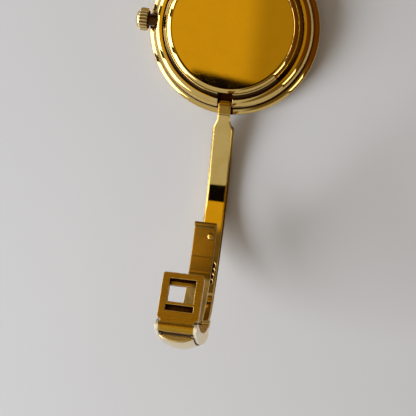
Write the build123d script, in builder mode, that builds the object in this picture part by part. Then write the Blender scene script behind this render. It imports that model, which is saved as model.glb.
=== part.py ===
from build123d import *
import math
import os

os.makedirs("parts", exist_ok=True)

# A lady's bangle watch lying on its dial, millimetres.
# Z is the case axis: zero on the crystal's flat outer face, growing towards the case back.
# The six o'clock arm runs towards -Y, the twelve o'clock arm towards +Y and the crown towards -X.
# Both arms are hinged in slots of the case and lie open, each one a flat liner under a domed shell.
# Half sections are drawn as (radius, height), arm profiles as (distance from the case axis, height).

# Case and bezel
crystal_radius = 10.35
crystal_height = 1.0
crystal_bevel = 0.3
gasket_wall = 0.25
neck_wall = 0.4
seat_gap = 0.05
rehaut_height = 0.9
rehaut_flare = 0.3
dial_radius = 9.3
dial_thickness = 0.35
dial_ledge = 0.25
bore_gap = 0.15
case_radius = 12.1
bezel_radius = 13.05
bezel_front = 0.25
bezel_lip = 0.35
bezel_height = 2.45
bezel_front_round = 1.35
bezel_back_land = 0.8
shoulder_drop = 0.9
shoulder_rise = 1.2
shoulder_round_radius = 1.3
groove_width = 0.15
groove_depth = 0.2
outer_step_width = 0.5
outer_step_drop = 0.4
inner_step_width = 0.12
inner_step_rise = 0.1

# Case back, which snaps into the bore
lid_thickness = 0.5
lid_flange = 0.5
lid_rim_width = 0.75
lid_rim_rise = 0.08
lid_rim_slope = 0.1
lid_rim_round = 0.9
lid_edge_height = 0.12
lid_seat_rise = 0.1
lid_gap = 0.05
skirt_wall = 0.35
skirt_depth = 0.5
seal_width = 0.15
seal_height = 0.3

# Crown, its tube and stem, on a level line through the case
crown_radius = 1.75
crown_length = 1.25
crown_cap_radius = 1.45
crown_cap_height = 0.7
crown_cap_round = 0.56
crown_gap = 0.05
crown_flutes = 20
flute_radius = 0.16
crown_recess_radius = 1.3
crown_recess_depth = 1.0
crown_travel = 0.6
tube_radius = 0.95
tube_bore = 0.55
tube_reach = 0.75
seal_ring_width = 0.16
stem_radius = 0.45
stem_groove_radius = 0.25
stem_groove_width = 0.56
stem_square = 0.5
stem_square_length = 1.9
stem_tip_radius = 0.2
stem_tip_length = 0.4
stem_hole_gap = 0.12

# Hinges of the arms
hinge_reach = 11.6
hinge_height = 3.75
knuckle_radius = 0.75
knuckle_width = 1.9
slot_side_gap = 0.2
slot_floor_gap = 0.1
slot_inner_wall = 0.45
bar_radius = 0.35
bar_tip_radius = 0.25
bar_tip_length = 1.0
pin_gap = 0.03
socket_gap = 0.01

# Arms: a shallow arc from the hinge to the lowest point, then a tight curl round the wrist
table_gap = 0.15
shell_height = 1.3
shell_edge_height = 0.6
liner_thickness = 0.6
arm_hinge_rise = 0.256
curl_radius = 20.0
lowest_reach = 25.3
curl_end = 114.5
arm_half_width = 1.65
arm_end_half_width = 2.35
taper_top = 12.7
shell_start_gap = 2.6
liner_inset = 0.2
liner_lead = 0.2
shoulder_run = 1.2
shoulder_round = 0.8
shell_run = 0.9
shell_round = 0.7
close_angle = 55.0

# Clasp carriage, which slides on the end of the lower arm
carriage_start = 77.5
carriage_end = 115.0
carriage_plate = 0.5
carriage_wall = 0.41
carriage_lip = 0.27
carriage_lip_reach = 0.3
slide_gap = 0.15
side_gap = 0.07
rebate_depth = 0.43
rebate_width = 0.4
rebate_start = 64.0
notch_count = 4
notch_pitch = 1.0
notch_radius = 0.5

# Lock leaf, drawn shut against the arm and then lifted to where it rests
leaf_hinge_angle = 75.0
leaf_length = 15.7
leaf_thickness = 0.5
leaf_half_width = 1.65
leaf_lift = 30.0
leaf_roll_radius = 0.36
leaf_roll_rise = 0.12
leaf_barrel_radius = 0.45
leaf_pin_radius = 0.2
leaf_ear_gap = 0.1
leaf_ear_radius = 0.5
rivet_inset = 1.75
rivet_offset = 0.9
rivet_head_radius = 0.48
rivet_head_height = 0.24
rivet_head_round = 0.19
rivet_shank_radius = 0.3
rivet_peg_radius = 0.38
rivet_peg_length = 0.42

# Catch frame, hinged at the end of the carriage
frame_pivot_angle = 118.0
frame_pivot_inset = 0.4
frame_length = 7.4
frame_droop = 20.0
frame_half_width = 2.825
frame_thickness = 1.0
frame_corner = 0.35
frame_rail = 1.0
frame_edge_bar = 0.8
catch_bar_gap = 0.35
catch_bar_width = 0.5
catch_bar_height = 0.55
frame_floor = 0.25
window_length = 2.4
cross_bar_width = 0.4
frame_slot_length = 0.85
frame_slot_rail = 0.9
frame_barrel_radius = 0.7
frame_pin_radius = 0.3
lug_radius = 0.75
lug_side_gap = 0.05

# Hook lever and its end piece on the upper arm
end_piece_start = 102.5
lever_pivot_rise = 0.6
lever_barrel_radius = 0.55
lever_nose = 0.63
lever_half_width = 2.35
lever_thickness = 0.75
lever_drop = 0.3
lever_root = 0.45
lever_corner = 0.9
hook_half_width = 1.3
hook_thickness = 0.6
hook_gap = 0.1
hook_lip_length = 0.55
hook_lip_thickness = 0.42

# Movement, a small two-hand quartz calibre in a plastic ring, stacked from the dial to the back
motion_height = 0.45
plate_thickness = 0.6
train_height = 1.0
bridge_thickness = 0.3
ring_end_wall = 2.0
ring_side_wall = 3.0
plate_corner = 3.0
ring_gap = 0.05
ring_front_gap = 0.02
ring_back_gap = 0.1
pivot_radius = 0.12
pivot_gap = 0.02
arbor_radius = 0.18
level_gap = 0.05
cell_radius = 2.9
cell_height = 2.1
cell_floor = 0.1
cell_gap = 0.1
cell_bevel = 0.15
cell_inset = 0.1
strap_thickness = 0.08
strap_half_width = 0.7
strap_bite = 0.4
coil_radius = 0.6
coil_length = 6.4
coil_x = 0.9
coil_y = -5.3
coil_core_length = 8.6
coil_core_width = 0.9
coil_core_thickness = 0.25
stator_thickness = 0.26
stator_bore = 0.75
stator_half_width = 1.1
stator_foot = 1.0
crystal_can_radius = 0.6
crystal_can_length = 4.6
crystal_can_x = -3.2
crystal_can_y = 4.9
board_thickness = 0.15
board_width = 3.8
board_end_inset = 0.7
board_side_inset = 0.4
board_cell_gap = 0.5
board_corner = 0.7
chip_side = 1.3
chip_height = 0.35
chip_inset = 1.2
chip_y = 3.3
bridge_left = -3.2
bridge_right = 5.4
bridge_front = -4.1
bridge_rear = 1.4
bridge_corner = 0.7
post_radius = 0.4
screw_radius = 0.2
screw_head_radius = 0.36
screw_head_height = 0.18
screw_slot_width = 0.1
screw_slot_angle = 30.0
screw_bite = 0.5
post_places = ((-2.7, -3.5), (-2.5, 0.9), (4.9, -0.6))

# Wheels of the train and the motion work
gear_module = 0.1
addendum_share = 0.9
dedendum_share = 1.2
tooth_root_share = 0.33
tooth_tip_share = 0.12
wheel_thickness = 0.12
pinion_height = 0.2
cannon_teeth = 10
minute_teeth = 30
minute_pinion_teeth = 8
hour_teeth = 32
setting_teeth = 12
centre_teeth = 32
third_pinion_teeth = 8
third_teeth = 36
inter_pinion_teeth = 6
inter_teeth = 36
rotor_pinion_teeth = 6
minute_wheel_angle = 140.0
setting_wheel_angle = 207.0
third_wheel_angle = 253.0
inter_wheel_angle = 346.5
rotor_angle = 8.0
rotor_radius = 0.6
rotor_height = 0.45
cannon_pipe_radius = 0.34
hour_pipe_bore = 0.4
hour_pipe_radius = 0.55
dial_hole_gap = 0.15

# Hands and markers
minute_hand_length = 7.6
hour_hand_length = 5.2
hand_width = 0.55
hand_thickness = 0.1
hand_boss_radius = 0.8
hand_tail = 1.6
hand_gap = 0.2
marker_length = 1.5
marker_width = 0.3
marker_height = 0.12
marker_inset = 0.9
marker_count = 12

# Setting work
lever_post_inset = 1.5
lever_post_y = 2.3
lever_plate_thickness = 0.15
lever_arm_width = 0.5
lever_post_radius = 0.2
lever_hub_radius = 0.5
lever_peg_radius = 0.17
clutch_radius = 0.8
clutch_bore_gap = 0.03
clutch_length = 1.1
clutch_inset = 3.2
clutch_groove_radius = 0.55
clutch_groove_width = 0.26
clutch_teeth = 12
clutch_notch_radius = 0.12
clutch_notch_length = 0.28
yoke_thickness = 0.18
yoke_post_inset = 1.3
yoke_post_y = -2.6
yoke_width = 0.5
yoke_tip_width = 0.14

# Levels of the stack
overrun = 1.0
crystal_seat = crystal_height + seat_gap
dial_front = crystal_seat + rehaut_height
dial_back = dial_front + dial_thickness
plate_front = dial_back + motion_height
plate_back = plate_front + plate_thickness
bridge_front_height = plate_back + train_height
bridge_back_height = bridge_front_height + bridge_thickness
cell_front = plate_front + cell_floor
cell_back = cell_front + cell_height
lid_inner = cell_back + bore_gap
lid_outer = lid_inner + lid_thickness
lid_seat = lid_inner + lid_seat_rise

# Places of the movement that follow the plate and the ring round it
plate_length = 2 * (dial_radius - ring_end_wall)
plate_width = 2 * (dial_radius - ring_side_wall)
cell_x = plate_length / 2 - plate_corner - cell_inset
cell_y = plate_width / 2 - plate_corner - cell_inset
board_left = board_end_inset - plate_length / 2
board_right = cell_x - cell_radius - board_cell_gap
board_length = board_right - board_left
board_x = (board_left + board_right) / 2
board_y = (plate_width - board_width) / 2 - board_side_inset
strap_end_x = board_right - strap_bite
chip_x = board_right - chip_inset
lever_post_x = lever_post_inset - plate_length / 2
clutch_x = clutch_inset - plate_length / 2
yoke_post_x = yoke_post_inset - plate_length / 2

# Radii of the case
neck_bore = crystal_radius + gasket_wall
neck_radius = neck_bore + neck_wall
case_bore = dial_radius + bore_gap
lid_radius = case_bore + lid_flange
step_bore = lid_radius + lid_gap
step_middle = step_bore + inner_step_width
step_outer = step_middle + outer_step_width
groove_outer = step_outer + groove_width
bezel_back = bezel_front + bezel_height
shelf_height = bezel_back + seat_gap
step_top = lid_seat + inner_step_rise
step_low = lid_seat - outer_step_drop
shoulder_low = shelf_height + shoulder_rise
shoulder_high = shoulder_low + shoulder_drop
slot_inner = case_bore + slot_inner_wall
slot_width = knuckle_width + slot_side_gap + slot_side_gap
slot_floor = hinge_height - knuckle_radius - slot_floor_gap
hinge_sides = (-hinge_reach, hinge_reach)
shell_start_reach = hinge_reach + shell_start_gap
neck_end_reach = shell_start_reach - liner_lead
stem_height = (plate_back + bridge_front_height) / 2 - stem_groove_radius / 2

with BuildPart() as crystal:
    with BuildSketch():
        Circle(crystal_radius)
    extrude(amount=crystal_height)
    chamfer(crystal.edges().group_by(Axis.Z)[0], crystal_bevel)
crystal.part.label = "crystal"
export_step(crystal.part, "parts/crystal.step")

with BuildPart() as crystal_gasket:
    with BuildSketch(Plane.XY.offset(crystal_bevel)):
        Circle(neck_bore)
        Circle(crystal_radius, mode=Mode.SUBTRACT)
    extrude(amount=crystal_seat - crystal_bevel)
crystal_gasket.part.label = "crystal_gasket"
export_step(crystal_gasket.part, "parts/crystal_gasket.step")

with BuildPart() as bezel_ring:
    with BuildSketch(Plane.XZ):
        with BuildLine():
            inner = neck_radius + seat_gap
            lip_back = bezel_front + bezel_lip
            rim_height = bezel_front + bezel_front_round
            Polyline(
                (bezel_radius - bezel_back_land, bezel_back),
                (inner, bezel_back),
                (inner, lip_back),
                (neck_bore + seat_gap, lip_back),
                (neck_bore + seat_gap, bezel_front),
                (bezel_radius - bezel_front_round, bezel_front),
            )
            TangentArc(
                (bezel_radius - bezel_front_round, bezel_front),
                (bezel_radius, rim_height),
                tangent=(1, 0),
            )
            TangentArc(
                (bezel_radius, rim_height),
                (bezel_radius - bezel_back_land, bezel_back),
                tangent=(0, 1),
            )
        make_face()
    revolve(axis=Axis.Z)
bezel_ring.part.label = "bezel_ring"
export_step(bezel_ring.part, "parts/bezel_ring.step")

with BuildPart() as case_middle:
    with BuildSketch(Plane.XZ):
        with BuildLine():
            Polyline(
                (case_radius, shoulder_low),
                (case_radius, shelf_height),
                (neck_radius, shelf_height),
                (neck_radius, lip_back + seat_gap),
                (neck_bore, lip_back + seat_gap),
                (neck_bore, crystal_seat),
                (dial_radius - dial_ledge + rehaut_flare, crystal_seat),
                (dial_radius - dial_ledge, dial_front),
                (case_bore, dial_front),
                (case_bore, lid_seat),
                (step_bore, lid_seat),
                (step_bore, step_top),
                (step_middle, step_top),
                (step_outer, step_low),
                (step_outer, step_low - groove_depth),
                (groove_outer, step_low - groove_depth),
                (groove_outer, shoulder_high),
            )
            RadiusArc(
                (groove_outer, shoulder_high),
                (case_radius, shoulder_low),
                shoulder_round_radius,
            )
        make_face()
    revolve(axis=Axis.Z)
    with BuildSketch(Plane.XY.offset(slot_floor)):
        slot_length = case_radius + overrun - slot_inner
        for side in (-1, 1):
            with Locations((0, side * (slot_inner + slot_length / 2))):
                Rectangle(slot_width, slot_length)
    extrude(amount=shoulder_high, mode=Mode.SUBTRACT)
    with BuildSketch(Plane.YZ):
        with Locations(*[(side, hinge_height) for side in hinge_sides]):
            Circle(bar_tip_radius + socket_gap)
    extrude(
        amount=slot_width / 2 + bar_tip_length, both=True, mode=Mode.SUBTRACT
    )
    with BuildSketch(Plane.YZ.offset(-case_bore + overrun)):
        with Locations((0, stem_height)):
            Circle(tube_radius + socket_gap)
    extrude(amount=-case_radius, mode=Mode.SUBTRACT)
case_middle.part.label = "case_middle"
export_step(case_middle.part, "parts/case_middle.step")

# The hinge bars are spring bars: a barrel in the knuckle and two tips in blind holes of the slot
for side, name in zip(hinge_sides, ("hinge_bar_lower", "hinge_bar_upper")):
    with BuildPart() as hinge_bar:
        with BuildSketch(Plane.YZ):
            with Locations((side, hinge_height)):
                Circle(bar_radius)
        extrude(amount=knuckle_width / 2, both=True)
        with BuildSketch(Plane.YZ):
            with Locations((side, hinge_height)):
                Circle(bar_tip_radius)
        extrude(
            amount=slot_width / 2 + bar_tip_length - socket_gap, both=True
        )
    hinge_bar.part.label = name
    export_step(hinge_bar.part, f"parts/{name}.step")

with BuildPart() as case_back:
    with BuildSketch(Plane.XZ):
        skirt_radius = case_bore - seal_width
        with BuildLine():
            rim_top = lid_outer + lid_rim_rise
            edge_top = lid_seat + lid_edge_height
            Polyline(
                (lid_radius - lid_rim_width, rim_top),
                (lid_radius - lid_rim_width - lid_rim_slope, lid_outer),
                (0, lid_outer),
                (0, lid_inner),
                (skirt_radius - skirt_wall, lid_inner),
                (skirt_radius - skirt_wall, lid_inner - skirt_depth),
                (skirt_radius, lid_inner - skirt_depth),
                (skirt_radius, lid_seat),
                (lid_radius, lid_seat),
                (lid_radius, edge_top),
            )
            RadiusArc(
                (lid_radius - lid_rim_width, rim_top),
                (lid_radius, edge_top),
                lid_rim_round,
            )
        make_face()
    revolve(axis=Axis.Z)
case_back.part.label = "case_back"
export_step(case_back.part, "parts/case_back.step")

with BuildPart() as back_gasket:
    with BuildSketch(Plane.XY.offset(lid_seat - seal_height)):
        Circle(case_bore)
        Circle(case_bore - seal_width, mode=Mode.SUBTRACT)
    extrude(amount=seal_height)
back_gasket.part.label = "back_gasket"
export_step(back_gasket.part, "parts/back_gasket.step")

# Crown and stem: planes face outwards along -X, so heights below are distances from the case axis
crown_start = bezel_radius + crown_gap
recess_floor = crown_start + crown_recess_depth
crown_face = crown_start + crown_length
tube_end = crown_start + tube_reach
groove_place = -lever_post_x - crown_travel / 2


def stem_plane(distance):
    """A plane square to the stem at a distance from the case axis, facing out of the crown."""
    return Plane(
        origin=(-distance, 0, stem_height), x_dir=(0, 1, 0), z_dir=(-1, 0, 0)
    )


with BuildPart() as crown_tube:
    with BuildSketch(stem_plane(case_bore)):
        Circle(tube_radius)
        Circle(tube_bore, mode=Mode.SUBTRACT)
    extrude(amount=tube_end - case_bore)
crown_tube.part.label = "crown_tube"
export_step(crown_tube.part, "parts/crown_tube.step")

with BuildPart() as crown:
    with BuildSketch(stem_plane(crown_start)):
        Circle(crown_radius)
        with PolarLocations(crown_radius, crown_flutes):
            Circle(flute_radius, mode=Mode.SUBTRACT)
    extrude(amount=crown_length)
    with BuildSketch(stem_plane(crown_face)):
        Circle(crown_cap_radius)
    extrude(amount=crown_cap_height)
    cap_edge = crown.edges().group_by(Axis.X)[0]
    fillet(cap_edge, crown_cap_round)
    with BuildSketch(stem_plane(crown_start)):
        Circle(crown_recess_radius)
    extrude(amount=crown_recess_depth, mode=Mode.SUBTRACT)
crown.part.label = "crown"
export_step(crown.part, "parts/crown.step")

with BuildPart() as crown_seal:
    with BuildSketch(stem_plane(crown_start + socket_gap)):
        Circle(crown_recess_radius - socket_gap)
        Circle(tube_radius + socket_gap, mode=Mode.SUBTRACT)
    extrude(amount=seal_ring_width)
crown_seal.part.label = "crown_seal"
export_step(crown_seal.part, "parts/crown_seal.step")

square_start = -clutch_x + stem_square_length / 2
with BuildPart() as stem:
    with BuildSketch(stem_plane(square_start)):
        Circle(stem_radius)
    extrude(amount=recess_floor - square_start)
    with BuildSketch(stem_plane(square_start - stem_square_length)):
        Rectangle(stem_square, stem_square)
    extrude(amount=stem_square_length)
    with BuildSketch(
        stem_plane(square_start - stem_square_length - stem_tip_length)
    ):
        Circle(stem_tip_radius)
    extrude(amount=stem_tip_length)
    with BuildSketch(stem_plane(groove_place - stem_groove_width / 2)):
        Circle(stem_radius + overrun)
        Circle(stem_groove_radius, mode=Mode.SUBTRACT)
    extrude(amount=stem_groove_width, mode=Mode.SUBTRACT)
stem.part.label = "stem"
export_step(stem.part, "parts/stem.step")

# Arm blanks, made once for the lower arm and mirrored for the upper one
side_plane = Plane(origin=(0, 0, 0), x_dir=(0, -1, 0), z_dir=(-1, 0, 0))
interface_low = table_gap + shell_height
low_run = lowest_reach - hinge_reach
low_rise = hinge_height + arm_hinge_rise - interface_low
low_arc_radius = (low_run * low_run + low_rise * low_rise) / (low_rise + low_rise)
low_centre = (lowest_reach, interface_low + low_arc_radius)
curl_centre = (lowest_reach, interface_low + curl_radius)
curl_origin = (0, -curl_centre[0], curl_centre[1])
curl_axis = Axis(curl_origin, (-1, 0, 0))
low_axis = Axis((0, -low_centre[0], low_centre[1]), (1, 0, 0))
arm_top = curl_centre[1] + curl_radius + shell_height


def curl_plane(angle):
    """A plane through the curl's axis: local x across the arm, local y out of the curl's centre."""
    turn = math.radians(angle)
    return Plane(
        origin=curl_origin,
        x_dir=(1, 0, 0),
        z_dir=(0, math.cos(turn), -math.sin(turn)),
    )


def outward_plane(angle, radius):
    """A plane touching the curl's circle of that radius, facing away from its centre."""
    turn = math.radians(angle)
    outward = Vector(0, -math.sin(turn), -math.cos(turn))
    return Plane(
        origin=Vector(*curl_origin) + outward * radius,
        x_dir=(1, 0, 0),
        z_dir=outward,
    )


def curl_point(angle, radius):
    """A point of the side profile on the curl, as (reach, height)."""
    turn = math.radians(angle)
    return (
        curl_centre[0] + radius * math.sin(turn),
        curl_centre[1] - radius * math.cos(turn),
    )


def low_angle(reach):
    """The angle on the shallow arc, from its lowest point back to a distance from the case axis."""
    return math.degrees(math.asin((lowest_reach - reach) / low_arc_radius))


def taper_envelope(inset):
    """The width of an arm past its lowest point, with its start narrower by an inset on each side."""
    with BuildPart() as taper:
        with BuildSketch(Plane.XZ.offset(lowest_reach)):
            liner_low = interface_low + liner_thickness
            Polygon(
                (inset - arm_half_width, 0),
                (arm_half_width - inset, 0),
                (arm_half_width - inset, liner_low),
                (arm_end_half_width, taper_top),
                (arm_end_half_width, arm_top),
                (-arm_end_half_width, arm_top),
                (-arm_end_half_width, taper_top),
                (inset - arm_half_width, liner_low),
            )
        extrude(amount=curl_radius + shell_height + overrun)
    return taper.part


def plan_envelope(start, run, corner, half_width, root_half_width):
    """The plan of an arm before its lowest point: a root, sloping shoulders and a straight body."""
    with BuildPart() as plan:
        with BuildSketch() as outline:
            root = hinge_reach - overrun
            Polygon(
                (-root_half_width, -root),
                (root_half_width, -root),
                (root_half_width, -start),
                (half_width, -start - run),
                (half_width, -lowest_reach),
                (-half_width, -lowest_reach),
                (-half_width, -start - run),
                (-root_half_width, -start),
            )
            shoulders = outline.vertices().filter_by_position(
                Axis.Y, -start - run, -start
            )
            fillet(shoulders, corner)
        extrude(amount=arm_top)
    return plan.part


with BuildPart() as liner_envelope:
    add(taper_envelope(liner_inset))
    add(
        plan_envelope(
            neck_end_reach,
            shoulder_run,
            shoulder_round,
            arm_half_width - liner_inset,
            knuckle_width / 2,
        )
    )

with BuildPart() as shell_envelope:
    add(taper_envelope(0))
    add(
        plan_envelope(
            shell_start_reach,
            shell_run,
            shell_round,
            arm_half_width,
            arm_half_width - shell_run,
        )
    )

with BuildPart() as liner_blank:
    with BuildSketch(side_plane):
        with BuildLine():
            hinge_turn = low_angle(hinge_reach)
            CenterArc(low_centre, low_arc_radius, 270 - hinge_turn, hinge_turn)
            CenterArc(curl_centre, curl_radius, 270, curl_end)
            Line(
                curl_point(curl_end, curl_radius),
                curl_point(curl_end, curl_radius - liner_thickness),
            )
            CenterArc(
                curl_centre, curl_radius - liner_thickness, 270, curl_end
            )
            inner_arc = CenterArc(
                low_centre,
                low_arc_radius - liner_thickness,
                270 - hinge_turn,
                hinge_turn,
            )
            outer_start = (
                low_centre[0]
                - low_arc_radius * math.sin(math.radians(hinge_turn)),
                low_centre[1]
                - low_arc_radius * math.cos(math.radians(hinge_turn)),
            )
            Line(outer_start, inner_arc @ 0)
        make_face()
        with Locations((hinge_reach, hinge_height)):
            Circle(knuckle_radius)
    extrude(amount=arm_end_half_width + overrun, both=True)
    add(liner_envelope.part, mode=Mode.INTERSECT)
    with BuildSketch(side_plane):
        with Locations((hinge_reach, hinge_height)):
            Circle(bar_radius + pin_gap)
    extrude(
        amount=arm_end_half_width + overrun, both=True, mode=Mode.SUBTRACT
    )

with BuildPart() as shell_blank:
    for plane, axis, arc_radius, turn in (
        (curl_plane(0), curl_axis, curl_radius, curl_end),
        (
            Plane(origin=low_axis.position, x_dir=(1, 0, 0), z_dir=(0, 1, 0)),
            low_axis,
            low_arc_radius,
            low_angle(shell_start_reach),
        ),
    ):
        with BuildSketch(plane):
            with BuildLine():
                half = arm_end_half_width
                edge = arc_radius + shell_edge_height
                Polyline(
                    (-half, edge),
                    (-half, arc_radius),
                    (half, arc_radius),
                    (half, edge),
                )
                ThreePointArc(
                    (half, edge), (0, arc_radius + shell_height), (-half, edge)
                )
            make_face()
        revolve(axis=axis, revolution_arc=turn)
    add(shell_envelope.part, mode=Mode.INTERSECT)
    # Side rebates let the lips of the clasp carriage pass behind the liner
    with BuildSketch(curl_plane(rebate_start)):
        for side in (-1, 1):
            with Locations(
                (side * arm_end_half_width, curl_radius + rebate_depth / 2)
            ):
                Rectangle(rebate_width + rebate_width, rebate_depth)
    revolve(
        axis=curl_axis,
        revolution_arc=curl_end - rebate_start,
        mode=Mode.SUBTRACT,
    )

carriage_inner = curl_radius - liner_thickness - slide_gap - carriage_plate
leaf_inner = carriage_inner
leaf_outer = leaf_inner + leaf_thickness
leaf_turn = math.degrees(leaf_length / leaf_outer)
rivet_angle = leaf_hinge_angle - math.degrees(
    (leaf_length - rivet_inset) / leaf_outer
)
notch_turn = math.degrees(notch_pitch / curl_radius)

with BuildPart() as lower_arm_liner:
    add(liner_blank.part)
    for notch in range(notch_count):
        with BuildSketch(
            outward_plane(
                rivet_angle + notch * notch_turn, curl_radius - liner_thickness
            )
        ):
            with Locations((rivet_offset, 0)):
                Circle(notch_radius)
        extrude(
            amount=liner_thickness + slide_gap, both=True, mode=Mode.SUBTRACT
        )
lower_arm_liner.part.label = "lower_arm_liner"
export_step(lower_arm_liner.part, "parts/lower_arm_liner.step")

with BuildPart() as lower_arm_shell:
    add(shell_blank.part)
lower_arm_shell.part.label = "lower_arm_shell"
export_step(lower_arm_shell.part, "parts/lower_arm_shell.step")

with BuildPart() as upper_arm_liner:
    mirror(liner_blank.part, about=Plane.XZ)
upper_arm_liner.part.label = "upper_arm_liner"
export_step(upper_arm_liner.part, "parts/upper_arm_liner.step")

with BuildPart() as upper_arm_shell:
    mirror(shell_blank.part, about=Plane.XZ)
upper_arm_shell.part.label = "upper_arm_shell"
export_step(upper_arm_shell.part, "parts/upper_arm_shell.step")

# Clasp carriage: a channel round the liner, ears for the leaf and lugs for the catch frame
channel_half = arm_end_half_width + side_gap
carriage_half = channel_half + carriage_wall
lip_front = curl_radius + slide_gap / 2
lip_back_radius = lip_front + carriage_lip
lip_half = arm_end_half_width - carriage_lip_reach
leaf_pivot = curl_point(leaf_hinge_angle, leaf_inner + seat_gap)
frame_pivot = curl_point(frame_pivot_angle, curl_radius - frame_pivot_inset)
cheek_middle = carriage_half - carriage_wall / 2


def channel_section():
    """The section of a channel that holds the liner by its edges, for the active sketch."""
    height = lip_back_radius - carriage_inner
    with Locations((0, carriage_inner + height / 2)):
        Rectangle(carriage_half + carriage_half, height)
    groove = lip_front - carriage_inner - carriage_plate
    with Locations((0, lip_front - groove / 2)):
        Rectangle(channel_half + channel_half, groove, mode=Mode.SUBTRACT)
    with Locations((0, lip_back_radius)):
        Rectangle(
            lip_half + lip_half,
            carriage_lip + carriage_lip,
            mode=Mode.SUBTRACT,
        )


def cheek_section():
    """The two side walls of the channel alone, for the active sketch."""
    height = lip_back_radius - carriage_inner
    for side in (-1, 1):
        with Locations((side * cheek_middle, carriage_inner + height / 2)):
            Rectangle(carriage_wall, height)


with BuildPart() as clasp_carriage:
    with BuildSketch(curl_plane(carriage_start)):
        channel_section()
    revolve(axis=curl_axis, revolution_arc=carriage_end - carriage_start)
    with BuildSketch(curl_plane(carriage_end)):
        cheek_section()
    revolve(axis=curl_axis, revolution_arc=frame_pivot_angle - carriage_end)
    for side in (-1, 1):
        with BuildSketch(side_plane.offset(side * cheek_middle)):
            with Locations(frame_pivot):
                Circle(lug_radius)
        extrude(amount=carriage_wall / 2, both=True)
        ear_start = leaf_half_width + leaf_ear_gap
        ear_middle = (ear_start + carriage_half) / 2
        ear_width = carriage_half - ear_start
        with BuildSketch(curl_plane(leaf_hinge_angle)):
            with Locations(
                (side * ear_middle, carriage_inner + carriage_plate / 2)
            ):
                Rectangle(ear_width, carriage_plate)
        revolve(
            axis=curl_axis,
            revolution_arc=carriage_start - leaf_hinge_angle,
        )
        with BuildSketch(side_plane.offset(side * ear_middle)):
            with Locations(leaf_pivot):
                Circle(leaf_ear_radius)
        extrude(amount=ear_width / 2, both=True)
    with BuildSketch(side_plane):
        with Locations(leaf_pivot):
            Circle(leaf_pin_radius + socket_gap)
        with Locations(frame_pivot):
            Circle(frame_pin_radius + socket_gap)
    extrude(amount=carriage_half + overrun, both=True, mode=Mode.SUBTRACT)
clasp_carriage.part.label = "clasp_carriage"
export_step(clasp_carriage.part, "parts/clasp_carriage.step")

for name, pivot, radius in (
    ("leaf_pin", leaf_pivot, leaf_pin_radius),
    ("frame_pin", frame_pivot, frame_pin_radius),
):
    with BuildPart() as clasp_pin:
        with BuildSketch(side_plane):
            with Locations(pivot):
                Circle(radius)
        extrude(amount=carriage_half, both=True)
    clasp_pin.part.label = name
    export_step(clasp_pin.part, f"parts/{name}.step")

# Lock leaf and its detent rivet, drawn shut and lifted about the leaf's pivot
leaf_axis = Axis((0, -leaf_pivot[0], leaf_pivot[1]), (1, 0, 0))
leaf_end_angle = leaf_hinge_angle - leaf_turn
roll_centre = curl_point(leaf_end_angle, leaf_inner - leaf_roll_rise)

with BuildPart() as leaf_shut:
    with BuildSketch(curl_plane(leaf_end_angle)):
        with Locations((0, leaf_inner + leaf_thickness / 2)):
            Rectangle(leaf_half_width + leaf_half_width, leaf_thickness)
    revolve(axis=curl_axis, revolution_arc=leaf_turn)
    with BuildSketch(side_plane):
        with Locations(leaf_pivot):
            Circle(leaf_barrel_radius)
        with Locations(roll_centre):
            Circle(leaf_roll_radius)
    extrude(amount=leaf_half_width, both=True)
    with BuildSketch(side_plane):
        with Locations(leaf_pivot):
            Circle(leaf_pin_radius + pin_gap)
    extrude(amount=leaf_half_width, both=True, mode=Mode.SUBTRACT)
    with BuildSketch(outward_plane(rivet_angle, leaf_inner)):
        with Locations((rivet_offset, 0)):
            Circle(rivet_shank_radius + socket_gap)
    extrude(amount=leaf_thickness, both=True, mode=Mode.SUBTRACT)

with BuildPart() as rivet_shut:
    with BuildSketch(outward_plane(rivet_angle, leaf_inner)):
        with Locations((rivet_offset, 0)):
            Circle(rivet_shank_radius)
    extrude(amount=leaf_thickness)
    with BuildSketch(outward_plane(rivet_angle, leaf_outer)):
        with Locations((rivet_offset, 0)):
            Circle(rivet_peg_radius)
    extrude(amount=rivet_peg_length)
    with BuildSketch(outward_plane(rivet_angle, leaf_inner)):
        with Locations((rivet_offset, 0)):
            Circle(rivet_head_radius)
    extrude(amount=-rivet_head_height)
    head_edge = rivet_shut.edges().filter_by(GeomType.CIRCLE)
    fillet(
        head_edge.sort_by(lambda edge: (edge.center() - Vector(*curl_origin)).length)[0],
        rivet_head_round,
    )

with BuildPart() as lock_leaf:
    add(leaf_shut.part.rotate(leaf_axis, leaf_lift))
lock_leaf.part.label = "lock_leaf"
export_step(lock_leaf.part, "parts/lock_leaf.step")

with BuildPart() as detent_rivet:
    add(rivet_shut.part.rotate(leaf_axis, leaf_lift))
detent_rivet.part.label = "detent_rivet"
export_step(detent_rivet.part, "parts/detent_rivet.step")

# Catch frame, at rest with its free edge towards the case and a little lower than its hinge
frame_turn = math.radians(frame_droop)
frame_normal = Vector(0, math.sin(frame_turn), math.cos(frame_turn))
frame_hinge = Vector(0, -frame_pivot[0], frame_pivot[1])
frame_plane = Plane(
    origin=frame_hinge - frame_normal * frame_thickness / 2,
    x_dir=(1, 0, 0),
    z_dir=frame_normal,
)
frame_root = lug_radius + slide_gap
frame_barrel_half = channel_half - lug_side_gap
window_far = frame_length - frame_edge_bar
bar_far = window_far - catch_bar_gap
bar_near = bar_far - catch_bar_width
window_near = bar_near - window_length
slot_far = window_near - cross_bar_width
window_width = frame_half_width + frame_half_width - frame_rail - frame_rail

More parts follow.
